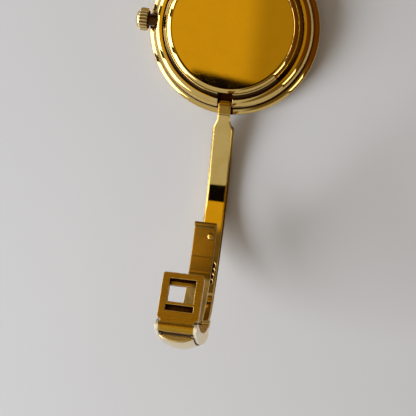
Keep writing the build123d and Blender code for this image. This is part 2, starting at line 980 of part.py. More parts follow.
with BuildPart() as catch_frame:
    with BuildSketch(frame_plane):
        with Locations((0, (frame_root + frame_length) / 2)):
            RectangleRounded(
                frame_half_width + frame_half_width,
                frame_length - frame_root,
                frame_corner,
            )
        with Locations((0, (frame_root + frame_corner) / 2)):
            Rectangle(
                frame_barrel_half + frame_barrel_half,
                frame_root + frame_corner,
            )
        with Locations((0, (window_near + bar_near) / 2)):
            Rectangle(window_width, bar_near - window_near, mode=Mode.SUBTRACT)
    extrude(amount=frame_thickness)
    # The catch bar stands lower than the frame, behind a groove with a thin floor
    with BuildSketch(frame_plane.offset(catch_bar_height)):
        with Locations((0, (bar_near + window_far) / 2)):
            Rectangle(window_width, window_far - bar_near)
    extrude(amount=frame_thickness, mode=Mode.SUBTRACT)
    with BuildSketch(frame_plane.offset(frame_floor)):
        with Locations((0, (bar_far + window_far) / 2)):
            Rectangle(window_width, catch_bar_gap)
    extrude(amount=frame_thickness, mode=Mode.SUBTRACT)
    with BuildSketch(frame_plane.offset(frame_floor)):
        with Locations((0, slot_far - frame_slot_length / 2)):
            Rectangle(
                frame_half_width
                + frame_half_width
                - frame_slot_rail
                - frame_slot_rail,
                frame_slot_length,
            )
    extrude(amount=frame_thickness, mode=Mode.SUBTRACT)
    with BuildSketch(side_plane):
        with Locations(frame_pivot):
            Circle(frame_barrel_radius)
    extrude(amount=frame_barrel_half, both=True)
    with BuildSketch(side_plane):
        with Locations(frame_pivot):
            Circle(frame_pin_radius + pin_gap)
    extrude(amount=frame_barrel_half, both=True, mode=Mode.SUBTRACT)
catch_frame.part.label = "catch_frame"
export_step(catch_frame.part, "parts/catch_frame.step")

# Hook lever on the upper arm, in line with the arm's end and level once both arms are shut
lever_pivot = curl_point(frame_pivot_angle, curl_radius + lever_pivot_rise)
lever_turn = math.radians(close_angle)
lever_plane = Plane(
    origin=(0, lever_pivot[0], lever_pivot[1]),
    x_dir=(0, -math.cos(lever_turn), math.sin(lever_turn)),
    z_dir=(-1, 0, 0),
)


def shut_place(point):
    """Where a point of an arm's side profile lies once the arm is shut, as (reach, height)."""
    reach = point[0] - hinge_reach
    rise = point[1] - hinge_height
    return (
        hinge_reach + reach * math.cos(lever_turn) - rise * math.sin(lever_turn),
        hinge_height + reach * math.sin(lever_turn) + rise * math.cos(lever_turn),
    )


frame_shut = shut_place(frame_pivot)
lever_shut = shut_place(lever_pivot)
bar_near_reach = frame_shut[0] - bar_far + catch_bar_width
bar_face_height = frame_shut[1] - frame_thickness / 2
hook_start = lever_shut[0] + bar_near_reach + hook_gap
hook_end = hook_start + hook_thickness
hook_top = bar_face_height - hook_gap - lever_shut[1]
lever_under = -lever_drop
lever_length = hook_end + lever_nose

with BuildPart() as hook_lever:
    with BuildSketch(lever_plane):
        with Locations(((lever_root + lever_length) / 2, lever_under + lever_thickness / 2)):
            Rectangle(lever_length - lever_root, lever_thickness)
    extrude(amount=lever_half_width, both=True)
    lever_end = (
        hook_lever.faces()
        .sort_by(lambda face: (face.center() - lever_plane.origin).length)[-1]
        .edges()
        .filter_by(Axis(lever_plane.origin, lever_plane.y_dir))
    )
    fillet(lever_end, lever_corner)
    with BuildSketch(lever_plane):
        Circle(lever_barrel_radius)
        with Locations((lever_root, lever_under + lever_thickness / 2)):
            Rectangle(lever_root + lever_root, lever_thickness)
    extrude(amount=frame_barrel_half, both=True)
    with BuildSketch(lever_plane):
        Polygon(
            (hook_start, lever_under + lever_thickness / 2),
            (hook_end, lever_under + lever_thickness / 2),
            (hook_end, hook_top - hook_lip_thickness),
            (hook_start - hook_lip_length, hook_top - hook_lip_thickness),
            (hook_start - hook_lip_length, hook_top),
            (hook_start, hook_top),
        )
    extrude(amount=hook_half_width, both=True)
    with BuildSketch(lever_plane):
        Circle(frame_pin_radius + pin_gap)
    extrude(amount=frame_barrel_half, both=True, mode=Mode.SUBTRACT)
hook_lever.part.label = "hook_lever"
export_step(hook_lever.part, "parts/hook_lever.step")

with BuildPart() as end_piece_blank:
    with BuildSketch(curl_plane(end_piece_start)):
        channel_section()
    revolve(axis=curl_axis, revolution_arc=carriage_end - end_piece_start)
    with BuildSketch(curl_plane(carriage_end)):
        cheek_section()
    revolve(axis=curl_axis, revolution_arc=frame_pivot_angle - carriage_end)
    for side in (-1, 1):
        with BuildSketch(side_plane.offset(side * cheek_middle)):
            with Locations(lever_pivot):
                Circle(lug_radius)
        extrude(amount=carriage_wall / 2, both=True)
    with BuildSketch(side_plane):
        with Locations(lever_pivot):
            Circle(frame_pin_radius + socket_gap)
    extrude(amount=carriage_half + overrun, both=True, mode=Mode.SUBTRACT)

with BuildPart() as hook_end_piece:
    mirror(end_piece_blank.part, about=Plane.XZ)
hook_end_piece.part.label = "hook_end_piece"
export_step(hook_end_piece.part, "parts/hook_end_piece.step")

with BuildPart() as hook_pin:
    with BuildSketch(lever_plane):
        Circle(frame_pin_radius)
    extrude(amount=carriage_half, both=True)
hook_pin.part.label = "hook_pin"
export_step(hook_pin.part, "parts/hook_pin.step")

# Movement, seen from the back: the battery is top right, the coil along the bottom, the stem at left
def on_plate(place, height):
    """A level plane at a place of the movement."""
    return Plane(origin=(place[0], place[1], height))


def polar(start, distance, angle):
    """The place at a distance and angle from another place."""
    turn = math.radians(angle)
    return (
        start[0] + distance * math.cos(turn),
        start[1] + distance * math.sin(turn),
    )


def pitch_radius(teeth):
    """The pitch radius of a wheel."""
    return gear_module * teeth / 2


def mesh_distance(teeth, other_teeth):
    """The distance between the centres of two wheels in mesh."""
    return pitch_radius(teeth) + pitch_radius(other_teeth)


def mesh_phase(angle, phase, teeth, other_teeth):
    """The phase of a wheel that meshes with one of a known phase, at an angle from it."""
    ahead = ((phase - angle) * teeth / 360) % 1
    return angle + 180 - (ahead + 0.5) * 360 / other_teeth


def gear_points(teeth, phase):
    """The outline of a wheel whose first tooth points along its phase, in degrees."""
    root = pitch_radius(teeth) - gear_module * dedendum_share
    tip = pitch_radius(teeth) + gear_module * addendum_share
    pitch = 360 / teeth
    corners = (
        (root, -tooth_root_share),
        (tip, -tooth_tip_share),
        (tip, tooth_tip_share),
        (root, tooth_root_share),
    )
    return [
        (
            radius * math.cos(math.radians(phase + (tooth + share) * pitch)),
            radius * math.sin(math.radians(phase + (tooth + share) * pitch)),
        )
        for tooth in range(teeth)
        for radius, share in corners
    ]


centre = (0, 0)
cell_place = (cell_x, cell_y)
minute_place = polar(
    centre, mesh_distance(cannon_teeth, minute_teeth), minute_wheel_angle
)
setting_place = polar(
    minute_place,
    mesh_distance(minute_teeth, setting_teeth),
    setting_wheel_angle,
)
third_place = polar(
    centre,
    mesh_distance(centre_teeth, third_pinion_teeth),
    third_wheel_angle,
)
inter_place = polar(
    third_place,
    mesh_distance(third_teeth, inter_pinion_teeth),
    inter_wheel_angle,
)
rotor_place = polar(
    inter_place, mesh_distance(inter_teeth, rotor_pinion_teeth), rotor_angle
)

minute_phase = mesh_phase(minute_wheel_angle, 0, cannon_teeth, minute_teeth)
setting_phase = mesh_phase(
    setting_wheel_angle, minute_phase, minute_teeth, setting_teeth
)
hour_phase = mesh_phase(
    minute_wheel_angle + 180, minute_phase, minute_pinion_teeth, hour_teeth
)
third_phase = mesh_phase(
    third_wheel_angle, 0, centre_teeth, third_pinion_teeth
)
inter_phase = mesh_phase(
    inter_wheel_angle, third_phase, third_teeth, inter_pinion_teeth
)
rotor_phase = mesh_phase(
    rotor_angle, inter_phase, inter_teeth, rotor_pinion_teeth
)

hour_level = dial_back + level_gap
minute_level = plate_front - level_gap - wheel_thickness
centre_level = plate_back + level_gap
third_level = centre_level + pinion_height + wheel_thickness
inter_level = third_level + pinion_height + wheel_thickness
minute_hand_level = crystal_height + hand_gap
hour_hand_level = minute_hand_level + hand_thickness + hand_gap
ring_front = dial_back + ring_front_gap
ring_back = lid_inner - skirt_depth - ring_back_gap
stem_slot_half = stem_radius + stem_hole_gap

with BuildPart() as dial:
    with BuildSketch(Plane.XY.offset(dial_front)):
        Circle(dial_radius)
        Circle(hour_pipe_radius + dial_hole_gap, mode=Mode.SUBTRACT)
    extrude(amount=dial_thickness)
dial.part.label = "dial"
export_step(dial.part, "parts/dial.step")

with BuildPart() as hour_markers:
    with BuildSketch(Plane.XY.offset(dial_front)):
        with PolarLocations(
            dial_radius - marker_inset - marker_length / 2, marker_count
        ):
            Rectangle(marker_length, marker_width)
    extrude(amount=-marker_height)
hour_markers.part.label = "hour_markers"
export_step(hour_markers.part, "parts/hour_markers.step")

with BuildPart() as holder_ring:
    with BuildSketch(Plane.XY.offset(ring_front)):
        Circle(dial_radius)
        RectangleRounded(
            plate_length + ring_gap + ring_gap,
            plate_width + ring_gap + ring_gap,
            plate_corner + ring_gap,
            mode=Mode.SUBTRACT,
        )
    extrude(amount=ring_back - ring_front)
    with BuildSketch(stem_plane(plate_length / 2 - overrun)):
        Circle(stem_slot_half)
    extrude(amount=dial_radius, mode=Mode.SUBTRACT)
holder_ring.part.label = "holder_ring"
export_step(holder_ring.part, "parts/holder_ring.step")

coil_place = (coil_x, coil_y)
can_place = (crystal_can_x, crystal_can_y)
with BuildPart() as main_plate:
    with BuildSketch(Plane.XY.offset(plate_front)):
        RectangleRounded(plate_length, plate_width, plate_corner)
    extrude(amount=plate_thickness)
    with BuildSketch(Plane.XY.offset(plate_back)):
        with Locations(*post_places):
            Circle(post_radius)
    extrude(amount=train_height)
    # Pockets for the battery, the coil, the quartz can and the clutch
    with BuildSketch(Plane.XY.offset(cell_front)):
        with Locations(cell_place):
            Circle(cell_radius + cell_gap)
    extrude(amount=cell_height, mode=Mode.SUBTRACT)
    pocket_floor = plate_front + plate_thickness / 2
    with BuildSketch(Plane.XY.offset(pocket_floor)):
        with Locations(coil_place):
            Rectangle(
                coil_core_length + cell_gap,
                coil_radius + coil_radius + cell_gap,
            )
        with Locations(can_place):
            Rectangle(
                crystal_can_length + cell_gap + cell_gap,
                crystal_can_radius + crystal_can_radius + cell_gap + cell_gap,
            )
    extrude(amount=plate_thickness, mode=Mode.SUBTRACT)
    with BuildSketch(Plane.XY.offset(plate_front)):
        with Locations((clutch_x, 0)):
            Rectangle(
                clutch_length + cell_gap + cell_gap,
                clutch_radius + clutch_radius + cell_gap + cell_gap,
            )
    extrude(amount=plate_thickness, mode=Mode.SUBTRACT)
    with BuildSketch(stem_plane(0)):
        Circle(stem_slot_half)
    extrude(amount=plate_length, mode=Mode.SUBTRACT)
    with BuildSketch(Plane.XY.offset(plate_front)):
        with Locations(centre):
            Circle(arbor_radius + pivot_gap)
        with Locations(minute_place, setting_place, third_place):
            Circle(pivot_radius + pivot_gap)
        with Locations(inter_place, rotor_place):
            Circle(pivot_radius + pivot_gap)
    extrude(amount=plate_thickness, mode=Mode.SUBTRACT)
    with BuildSketch(Plane.XY.offset(bridge_front_height - screw_bite)):
        with Locations(*post_places):
            Circle(screw_radius + socket_gap)
    extrude(amount=screw_bite, mode=Mode.SUBTRACT)
main_plate.part.label = "main_plate"
export_step(main_plate.part, "parts/main_plate.step")

bridge_middle = (
    (bridge_left + bridge_right) / 2,
    (bridge_front + bridge_rear) / 2,
)
with BuildPart() as train_bridge:
    with BuildSketch(Plane.XY.offset(bridge_front_height)):
        with Locations(bridge_middle):
            RectangleRounded(
                bridge_right - bridge_left,
                bridge_rear - bridge_front,
                bridge_corner,
            )
        with Locations(cell_place):
            Circle(cell_radius + cell_gap, mode=Mode.SUBTRACT)
        with Locations(centre, third_place, inter_place, rotor_place):
            Circle(pivot_radius + pivot_gap, mode=Mode.SUBTRACT)
        with Locations(*post_places):
            Circle(screw_radius + socket_gap, mode=Mode.SUBTRACT)
    extrude(amount=bridge_thickness)
train_bridge.part.label = "train_bridge"
export_step(train_bridge.part, "parts/train_bridge.step")

with BuildPart() as bridge_screws:
    with BuildSketch(Plane.XY.offset(bridge_front_height - screw_bite)):
        with Locations(*post_places):
            Circle(screw_radius)
    extrude(amount=screw_bite + bridge_thickness)
    with BuildSketch(Plane.XY.offset(bridge_back_height)):
        with Locations(*post_places):
            Circle(screw_head_radius)
    extrude(amount=screw_head_height)
    with BuildSketch(
        Plane.XY.offset(bridge_back_height + screw_head_height / 2)
    ):
        with Locations(*post_places):
            Rectangle(
                screw_head_radius + screw_head_radius,
                screw_slot_width,
                rotation=screw_slot_angle,
            )
    extrude(amount=screw_head_height, mode=Mode.SUBTRACT)
bridge_screws.part.label = "bridge_screws"
export_step(bridge_screws.part, "parts/bridge_screws.step")

with BuildPart() as battery:
    with BuildSketch(on_plate(cell_place, cell_front)):
        Circle(cell_radius)
    extrude(amount=cell_height)
    chamfer(battery.edges().group_by(Axis.Z)[-1], cell_bevel)
battery.part.label = "battery"
export_step(battery.part, "parts/battery.step")

board_front = bridge_front_height + level_gap
board_back = board_front + board_thickness
with BuildPart() as battery_strap:
    strap_plane = Plane(
        origin=(0, cell_y, 0), x_dir=(1, 0, 0), z_dir=(0, -1, 0)
    )
    with BuildSketch(strap_plane):
        Polygon(
            (cell_x, cell_back),
            (cell_x, cell_back + strap_thickness),
            (strap_end_x, cell_back + strap_thickness),
            (strap_end_x, board_back),
            (strap_end_x + strap_thickness, board_back),
            (strap_end_x + strap_thickness, cell_back),
        )
    extrude(amount=strap_half_width, both=True)
battery_strap.part.label = "battery_strap"
export_step(battery_strap.part, "parts/battery_strap.step")

with BuildPart() as circuit_board:
    with BuildSketch(on_plate((board_x, board_y), board_front)):
        RectangleRounded(board_length, board_width, board_corner)
    extrude(amount=board_thickness)
circuit_board.part.label = "circuit_board"
export_step(circuit_board.part, "parts/circuit_board.step")

with BuildPart() as control_chip:
    with BuildSketch(on_plate((chip_x, chip_y), board_front)):
        Rectangle(chip_side, chip_side)
    extrude(amount=-chip_height)
control_chip.part.label = "control_chip"
export_step(control_chip.part, "parts/control_chip.step")

with BuildPart() as quartz_can:
    can_height = board_front - crystal_can_radius
    with BuildSketch(
        Plane(
            origin=(can_place[0], can_place[1], can_height),
            x_dir=(0, 1, 0),
            z_dir=(1, 0, 0),
        )
    ):
        Circle(crystal_can_radius)
    extrude(amount=crystal_can_length / 2, both=True)
    fillet(quartz_can.edges().group_by(Axis.X)[0], crystal_can_radius / 2)
quartz_can.part.label = "quartz_can"
export_step(quartz_can.part, "parts/quartz_can.step")

# The coil's bare core ends lie on the feet of the stator
stator_back = centre_level + stator_thickness
coil_height = stator_back + coil_core_thickness / 2
with BuildPart() as coil_core:
    with BuildSketch(on_plate(coil_place, stator_back)):
        Rectangle(coil_core_length, coil_core_width)
    extrude(amount=coil_core_thickness)
coil_core.part.label = "coil_core"
export_step(coil_core.part, "parts/coil_core.step")

with BuildPart() as coil_winding:
    coil_plane = Plane(
        origin=(coil_x, coil_y, coil_height), x_dir=(0, 1, 0), z_dir=(1, 0, 0)
    )
    with BuildSketch(coil_plane):
        Circle(coil_radius)
        Rectangle(
            coil_core_width + socket_gap,
            coil_core_thickness + socket_gap,
            mode=Mode.SUBTRACT,
        )
    extrude(amount=coil_length / 2, both=True)
coil_winding.part.label = "coil_winding"
export_step(coil_winding.part, "parts/coil_winding.step")

foot_reach = coil_core_length / 2 - stator_foot / 2
with BuildPart() as stator:
    with BuildSketch(Plane.XY.offset(centre_level)):
        arm_y = coil_y + coil_radius + stator_foot
        for side in (-1, 1):
            foot = (coil_x + side * foot_reach, (coil_y + arm_y) / 2)
            with Locations(foot):
                Rectangle(stator_foot, arm_y - coil_y + coil_core_width)
        with Locations(((coil_x - foot_reach + rotor_place[0]) / 2, arm_y)):
            Rectangle(
                rotor_place[0] - coil_x + foot_reach + stator_foot,
                stator_foot,
            )
        with Locations(((coil_x + foot_reach + rotor_place[0]) / 2, arm_y)):
            Rectangle(
                coil_x + foot_reach - rotor_place[0] + stator_foot,
                stator_foot,
            )
        pole_end = rotor_place[1] + stator_half_width
        with Locations((rotor_place[0], (pole_end + arm_y) / 2)):
            Rectangle(
                stator_half_width + stator_half_width, pole_end - arm_y
            )
        with Locations(*post_places):
            Circle(post_radius + cell_gap, mode=Mode.SUBTRACT)
        with Locations(rotor_place):
            Circle(stator_bore, mode=Mode.SUBTRACT)
    extrude(amount=stator_thickness)
stator.part.label = "stator"
export_step(stator.part, "parts/stator.step")

# Wheels of the train, from the centre wheel out to the rotor, each with its pinion and pivots
plate_pivot_end = plate_front + plate_thickness / 2
bridge_pivot_end = bridge_back_height - bridge_thickness / 2


def axle_span(place, radius, start, end):
    """A round length of axle, for the active part."""
    with BuildPart(mode=Mode.PRIVATE) as span:
        with BuildSketch(on_plate(place, start)):
            Circle(radius)
        extrude(amount=end - start)
    return span.part


with BuildPart() as centre_wheel:
    with BuildSketch(on_plate(centre, centre_level)):
        Polygon(*gear_points(centre_teeth, 0))
    extrude(amount=wheel_thickness)
    add(axle_span(centre, arbor_radius, plate_front - pinion_height, bridge_front_height - level_gap))
    add(axle_span(centre, pivot_radius, bridge_front_height - level_gap, bridge_pivot_end))
centre_wheel.part.label = "centre_wheel"
export_step(centre_wheel.part, "parts/centre_wheel.step")

for name, place, teeth, phase, level, pinion_teeth in (
    ("third_wheel", third_place, third_teeth, third_phase, third_level, third_pinion_teeth),
    ("intermediate_wheel", inter_place, inter_teeth, inter_phase, inter_level, inter_pinion_teeth),
):
    pinion_level = level - pinion_height - wheel_thickness
    with BuildPart() as wheel:
        with BuildSketch(on_plate(place, level)):
            Polygon(*gear_points(teeth, phase))
        extrude(amount=wheel_thickness)
        with BuildSketch(on_plate(place, pinion_level)):
            Polygon(*gear_points(pinion_teeth, phase))
        extrude(amount=pinion_height)
        add(axle_span(place, arbor_radius, centre_level, bridge_front_height - level_gap))
        add(axle_span(place, pivot_radius, plate_pivot_end, bridge_pivot_end))
    wheel.part.label = name
    export_step(wheel.part, f"parts/{name}.step")

with BuildPart() as rotor:
    with BuildSketch(on_plate(rotor_place, centre_level)):
        Circle(rotor_radius)
    extrude(amount=rotor_height)
    with BuildSketch(on_plate(rotor_place, inter_level - (pinion_height - wheel_thickness) / 2)):
        Polygon(*gear_points(rotor_pinion_teeth, rotor_phase))
    extrude(amount=pinion_height)
    add(axle_span(rotor_place, arbor_radius, centre_level, bridge_front_height - level_gap))
    add(axle_span(rotor_place, pivot_radius, plate_pivot_end, bridge_pivot_end))
rotor.part.label = "rotor"
export_step(rotor.part, "parts/rotor.step")

# Motion work under the dial: the cannon pinion drives the minute wheel, whose pinion drives the hours
cannon_bore = arbor_radius
with BuildPart() as cannon_pinion:
    with BuildSketch(on_plate(centre, minute_level)):
        Polygon(*gear_points(cannon_teeth, 0))
    extrude(amount=wheel_thickness)
    with BuildSketch(on_plate(centre, minute_hand_level)):
        Circle(cannon_pipe_radius)
    extrude(amount=minute_level - minute_hand_level)
    with BuildSketch(on_plate(centre, plate_front - pinion_height)):
        Circle(cannon_bore + socket_gap)
    extrude(amount=pinion_height, mode=Mode.SUBTRACT)
cannon_pinion.part.label = "cannon_pinion"
export_step(cannon_pinion.part, "parts/cannon_pinion.step")

with BuildPart() as minute_wheel:
    with BuildSketch(on_plate(minute_place, minute_level)):
        Polygon(*gear_points(minute_teeth, minute_phase))
    extrude(amount=wheel_thickness)
    with BuildSketch(on_plate(minute_place, hour_level)):
        Polygon(*gear_points(minute_pinion_teeth, minute_phase))
    extrude(amount=minute_level - hour_level)
    add(axle_span(minute_place, pivot_radius, hour_level, plate_pivot_end))
minute_wheel.part.label = "minute_wheel"
export_step(minute_wheel.part, "parts/minute_wheel.step")

with BuildPart() as hour_wheel:
    with BuildSketch(on_plate(centre, hour_level)):
        Polygon(*gear_points(hour_teeth, hour_phase))
    extrude(amount=wheel_thickness)
    with BuildSketch(on_plate(centre, hour_hand_level)):
        Circle(hour_pipe_radius)
    extrude(amount=hour_level - hour_hand_level)
    with BuildSketch(on_plate(centre, hour_hand_level)):
        Circle(hour_pipe_bore)
    extrude(amount=hour_level - hour_hand_level + wheel_thickness, mode=Mode.SUBTRACT)
hour_wheel.part.label = "hour_wheel"
export_step(hour_wheel.part, "parts/hour_wheel.step")

with BuildPart() as setting_wheel:
    with BuildSketch(on_plate(setting_place, minute_level)):
        Polygon(*gear_points(setting_teeth, setting_phase))
    extrude(amount=wheel_thickness)
    add(axle_span(setting_place, pivot_radius, minute_level, plate_pivot_end))
setting_wheel.part.label = "setting_wheel"
export_step(setting_wheel.part, "parts/setting_wheel.step")

# Hands: tapering batons on their pipes, the minute hand nearest the crystal
for name, length, level, pipe in (
    ("minute_hand", minute_hand_length, minute_hand_level, cannon_pipe_radius),
    ("hour_hand", hour_hand_length, hour_hand_level, hour_pipe_radius),
):
    with BuildPart() as hand:
        with BuildSketch(on_plate(centre, level)):
            Polygon(
                (-hand_width / 2, -hand_tail),
                (hand_width / 2, -hand_tail),
                (hand_width / 4, length),
                (-hand_width / 4, length),
            )
            Circle(hand_boss_radius)
            Circle(pipe + socket_gap, mode=Mode.SUBTRACT)
        extrude(amount=hand_thickness)
    hand.part.label = name
    export_step(hand.part, f"parts/{name}.step")

# Setting work at the stem: the lever's peg sits in the stem's groove, the clutch on its square
lever_place = (lever_post_x, lever_post_y)
peg_place = (-groove_place, 0)
lever_level = stem_height + stem_radius + level_gap
lever_reach = math.dist(lever_place, peg_place)
lever_angle = math.degrees(
    math.atan2(peg_place[1] - lever_place[1], peg_place[0] - lever_place[0])
)
with BuildPart() as setting_lever:
    with BuildSketch(on_plate(lever_place, lever_level)):
        with Locations(polar((0, 0), lever_reach / 2, lever_angle)):
            SlotCenterToCenter(lever_reach, lever_arm_width, rotation=lever_angle)
        Circle(lever_hub_radius)
        Circle(lever_post_radius + pin_gap, mode=Mode.SUBTRACT)
    extrude(amount=lever_plate_thickness)
    add(
        axle_span(
            peg_place,
            lever_peg_radius,
            stem_height + stem_groove_radius + socket_gap,
            lever_level,
        )
    )
setting_lever.part.label = "setting_lever"
export_step(setting_lever.part, "parts/setting_lever.step")

with BuildPart() as lever_post:
    add(axle_span(lever_place, lever_post_radius, plate_back, lever_level + lever_plate_thickness))
lever_post.part.label = "lever_post"
export_step(lever_post.part, "parts/lever_post.step")

with BuildPart() as clutch_pinion:
    clutch_start = -clutch_x - clutch_length / 2
    with BuildSketch(stem_plane(clutch_start)):
        Circle(clutch_radius)
        Rectangle(
            stem_square + clutch_bore_gap + clutch_bore_gap,
            stem_square + clutch_bore_gap + clutch_bore_gap,
            mode=Mode.SUBTRACT,
        )
    extrude(amount=clutch_length)
    with BuildSketch(stem_plane(-clutch_x - clutch_groove_width / 2)):
        Circle(clutch_radius + overrun)
        Circle(clutch_groove_radius, mode=Mode.SUBTRACT)
    extrude(amount=clutch_groove_width, mode=Mode.SUBTRACT)
    with BuildSketch(stem_plane(clutch_start)):
        with PolarLocations(clutch_radius, clutch_teeth):
            Circle(clutch_notch_radius)
    extrude(amount=clutch_notch_length, mode=Mode.SUBTRACT)
clutch_pinion.part.label = "clutch_pinion"
export_step(clutch_pinion.part, "parts/clutch_pinion.step")

yoke_tip = (clutch_x, -clutch_groove_radius - level_gap)
with BuildPart() as yoke:
    with BuildSketch(Plane.XY.offset(stem_height - yoke_thickness / 2)):
        Polygon(
            (yoke_post_x, yoke_post_y - yoke_width / 2),
            (clutch_x + yoke_tip_width / 2, yoke_post_y - yoke_width / 2),
            (clutch_x + yoke_tip_width / 2, yoke_tip[1]),
            (clutch_x - yoke_tip_width / 2, yoke_tip[1]),
            (clutch_x - yoke_tip_width / 2, yoke_post_y + yoke_width / 2),
            (yoke_post_x, yoke_post_y + yoke_width / 2),
        )
        with Locations((yoke_post_x, yoke_post_y)):
            Circle(yoke_width / 2)
    extrude(amount=yoke_thickness)
    add(
        axle_span(
            (yoke_post_x, yoke_post_y),
            lever_post_radius,
            plate_back,
            stem_height,
        )
    )
yoke.part.label = "yoke"
export_step(yoke.part, "parts/yoke.step")
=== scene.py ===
import logging
import math
from dataclasses import dataclass
from enum import Enum

import bmesh
import bpy
import numpy as np
from mathutils import Matrix, Vector


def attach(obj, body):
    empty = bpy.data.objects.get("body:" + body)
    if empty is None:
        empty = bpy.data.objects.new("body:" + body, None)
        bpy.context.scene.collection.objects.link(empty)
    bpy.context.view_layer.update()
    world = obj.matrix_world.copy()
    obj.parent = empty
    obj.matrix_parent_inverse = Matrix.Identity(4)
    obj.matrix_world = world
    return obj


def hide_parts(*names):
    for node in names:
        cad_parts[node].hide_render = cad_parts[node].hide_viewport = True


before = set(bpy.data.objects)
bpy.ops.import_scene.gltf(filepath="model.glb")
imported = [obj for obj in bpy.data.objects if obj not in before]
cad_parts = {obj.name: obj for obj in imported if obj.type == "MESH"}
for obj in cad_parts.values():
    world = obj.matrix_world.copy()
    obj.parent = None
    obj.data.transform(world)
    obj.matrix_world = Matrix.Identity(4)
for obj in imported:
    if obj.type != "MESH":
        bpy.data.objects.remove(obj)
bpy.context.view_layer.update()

LOG = logging.getLogger("bangle_watch")

# One millimetre in metres. Pieces and patterns are sized in millimetres, and the stage in metres.
MM = 0.001
# Farther in millimetres than any piece reaches, and a gap that keeps two points of a profile apart.
FAR = 1000.0
HAIR = 0.01

Node = bpy.types.Node
Socket = bpy.types.NodeSocket
Pair = tuple[float, float]
Triple = tuple[float, float, float]
# What can feed a socket: another socket, a vector, a colour or a number.
Feed = Socket | tuple[float, ...] | float
# Points and the faces between them.
Patch = tuple[np.ndarray, np.ndarray]


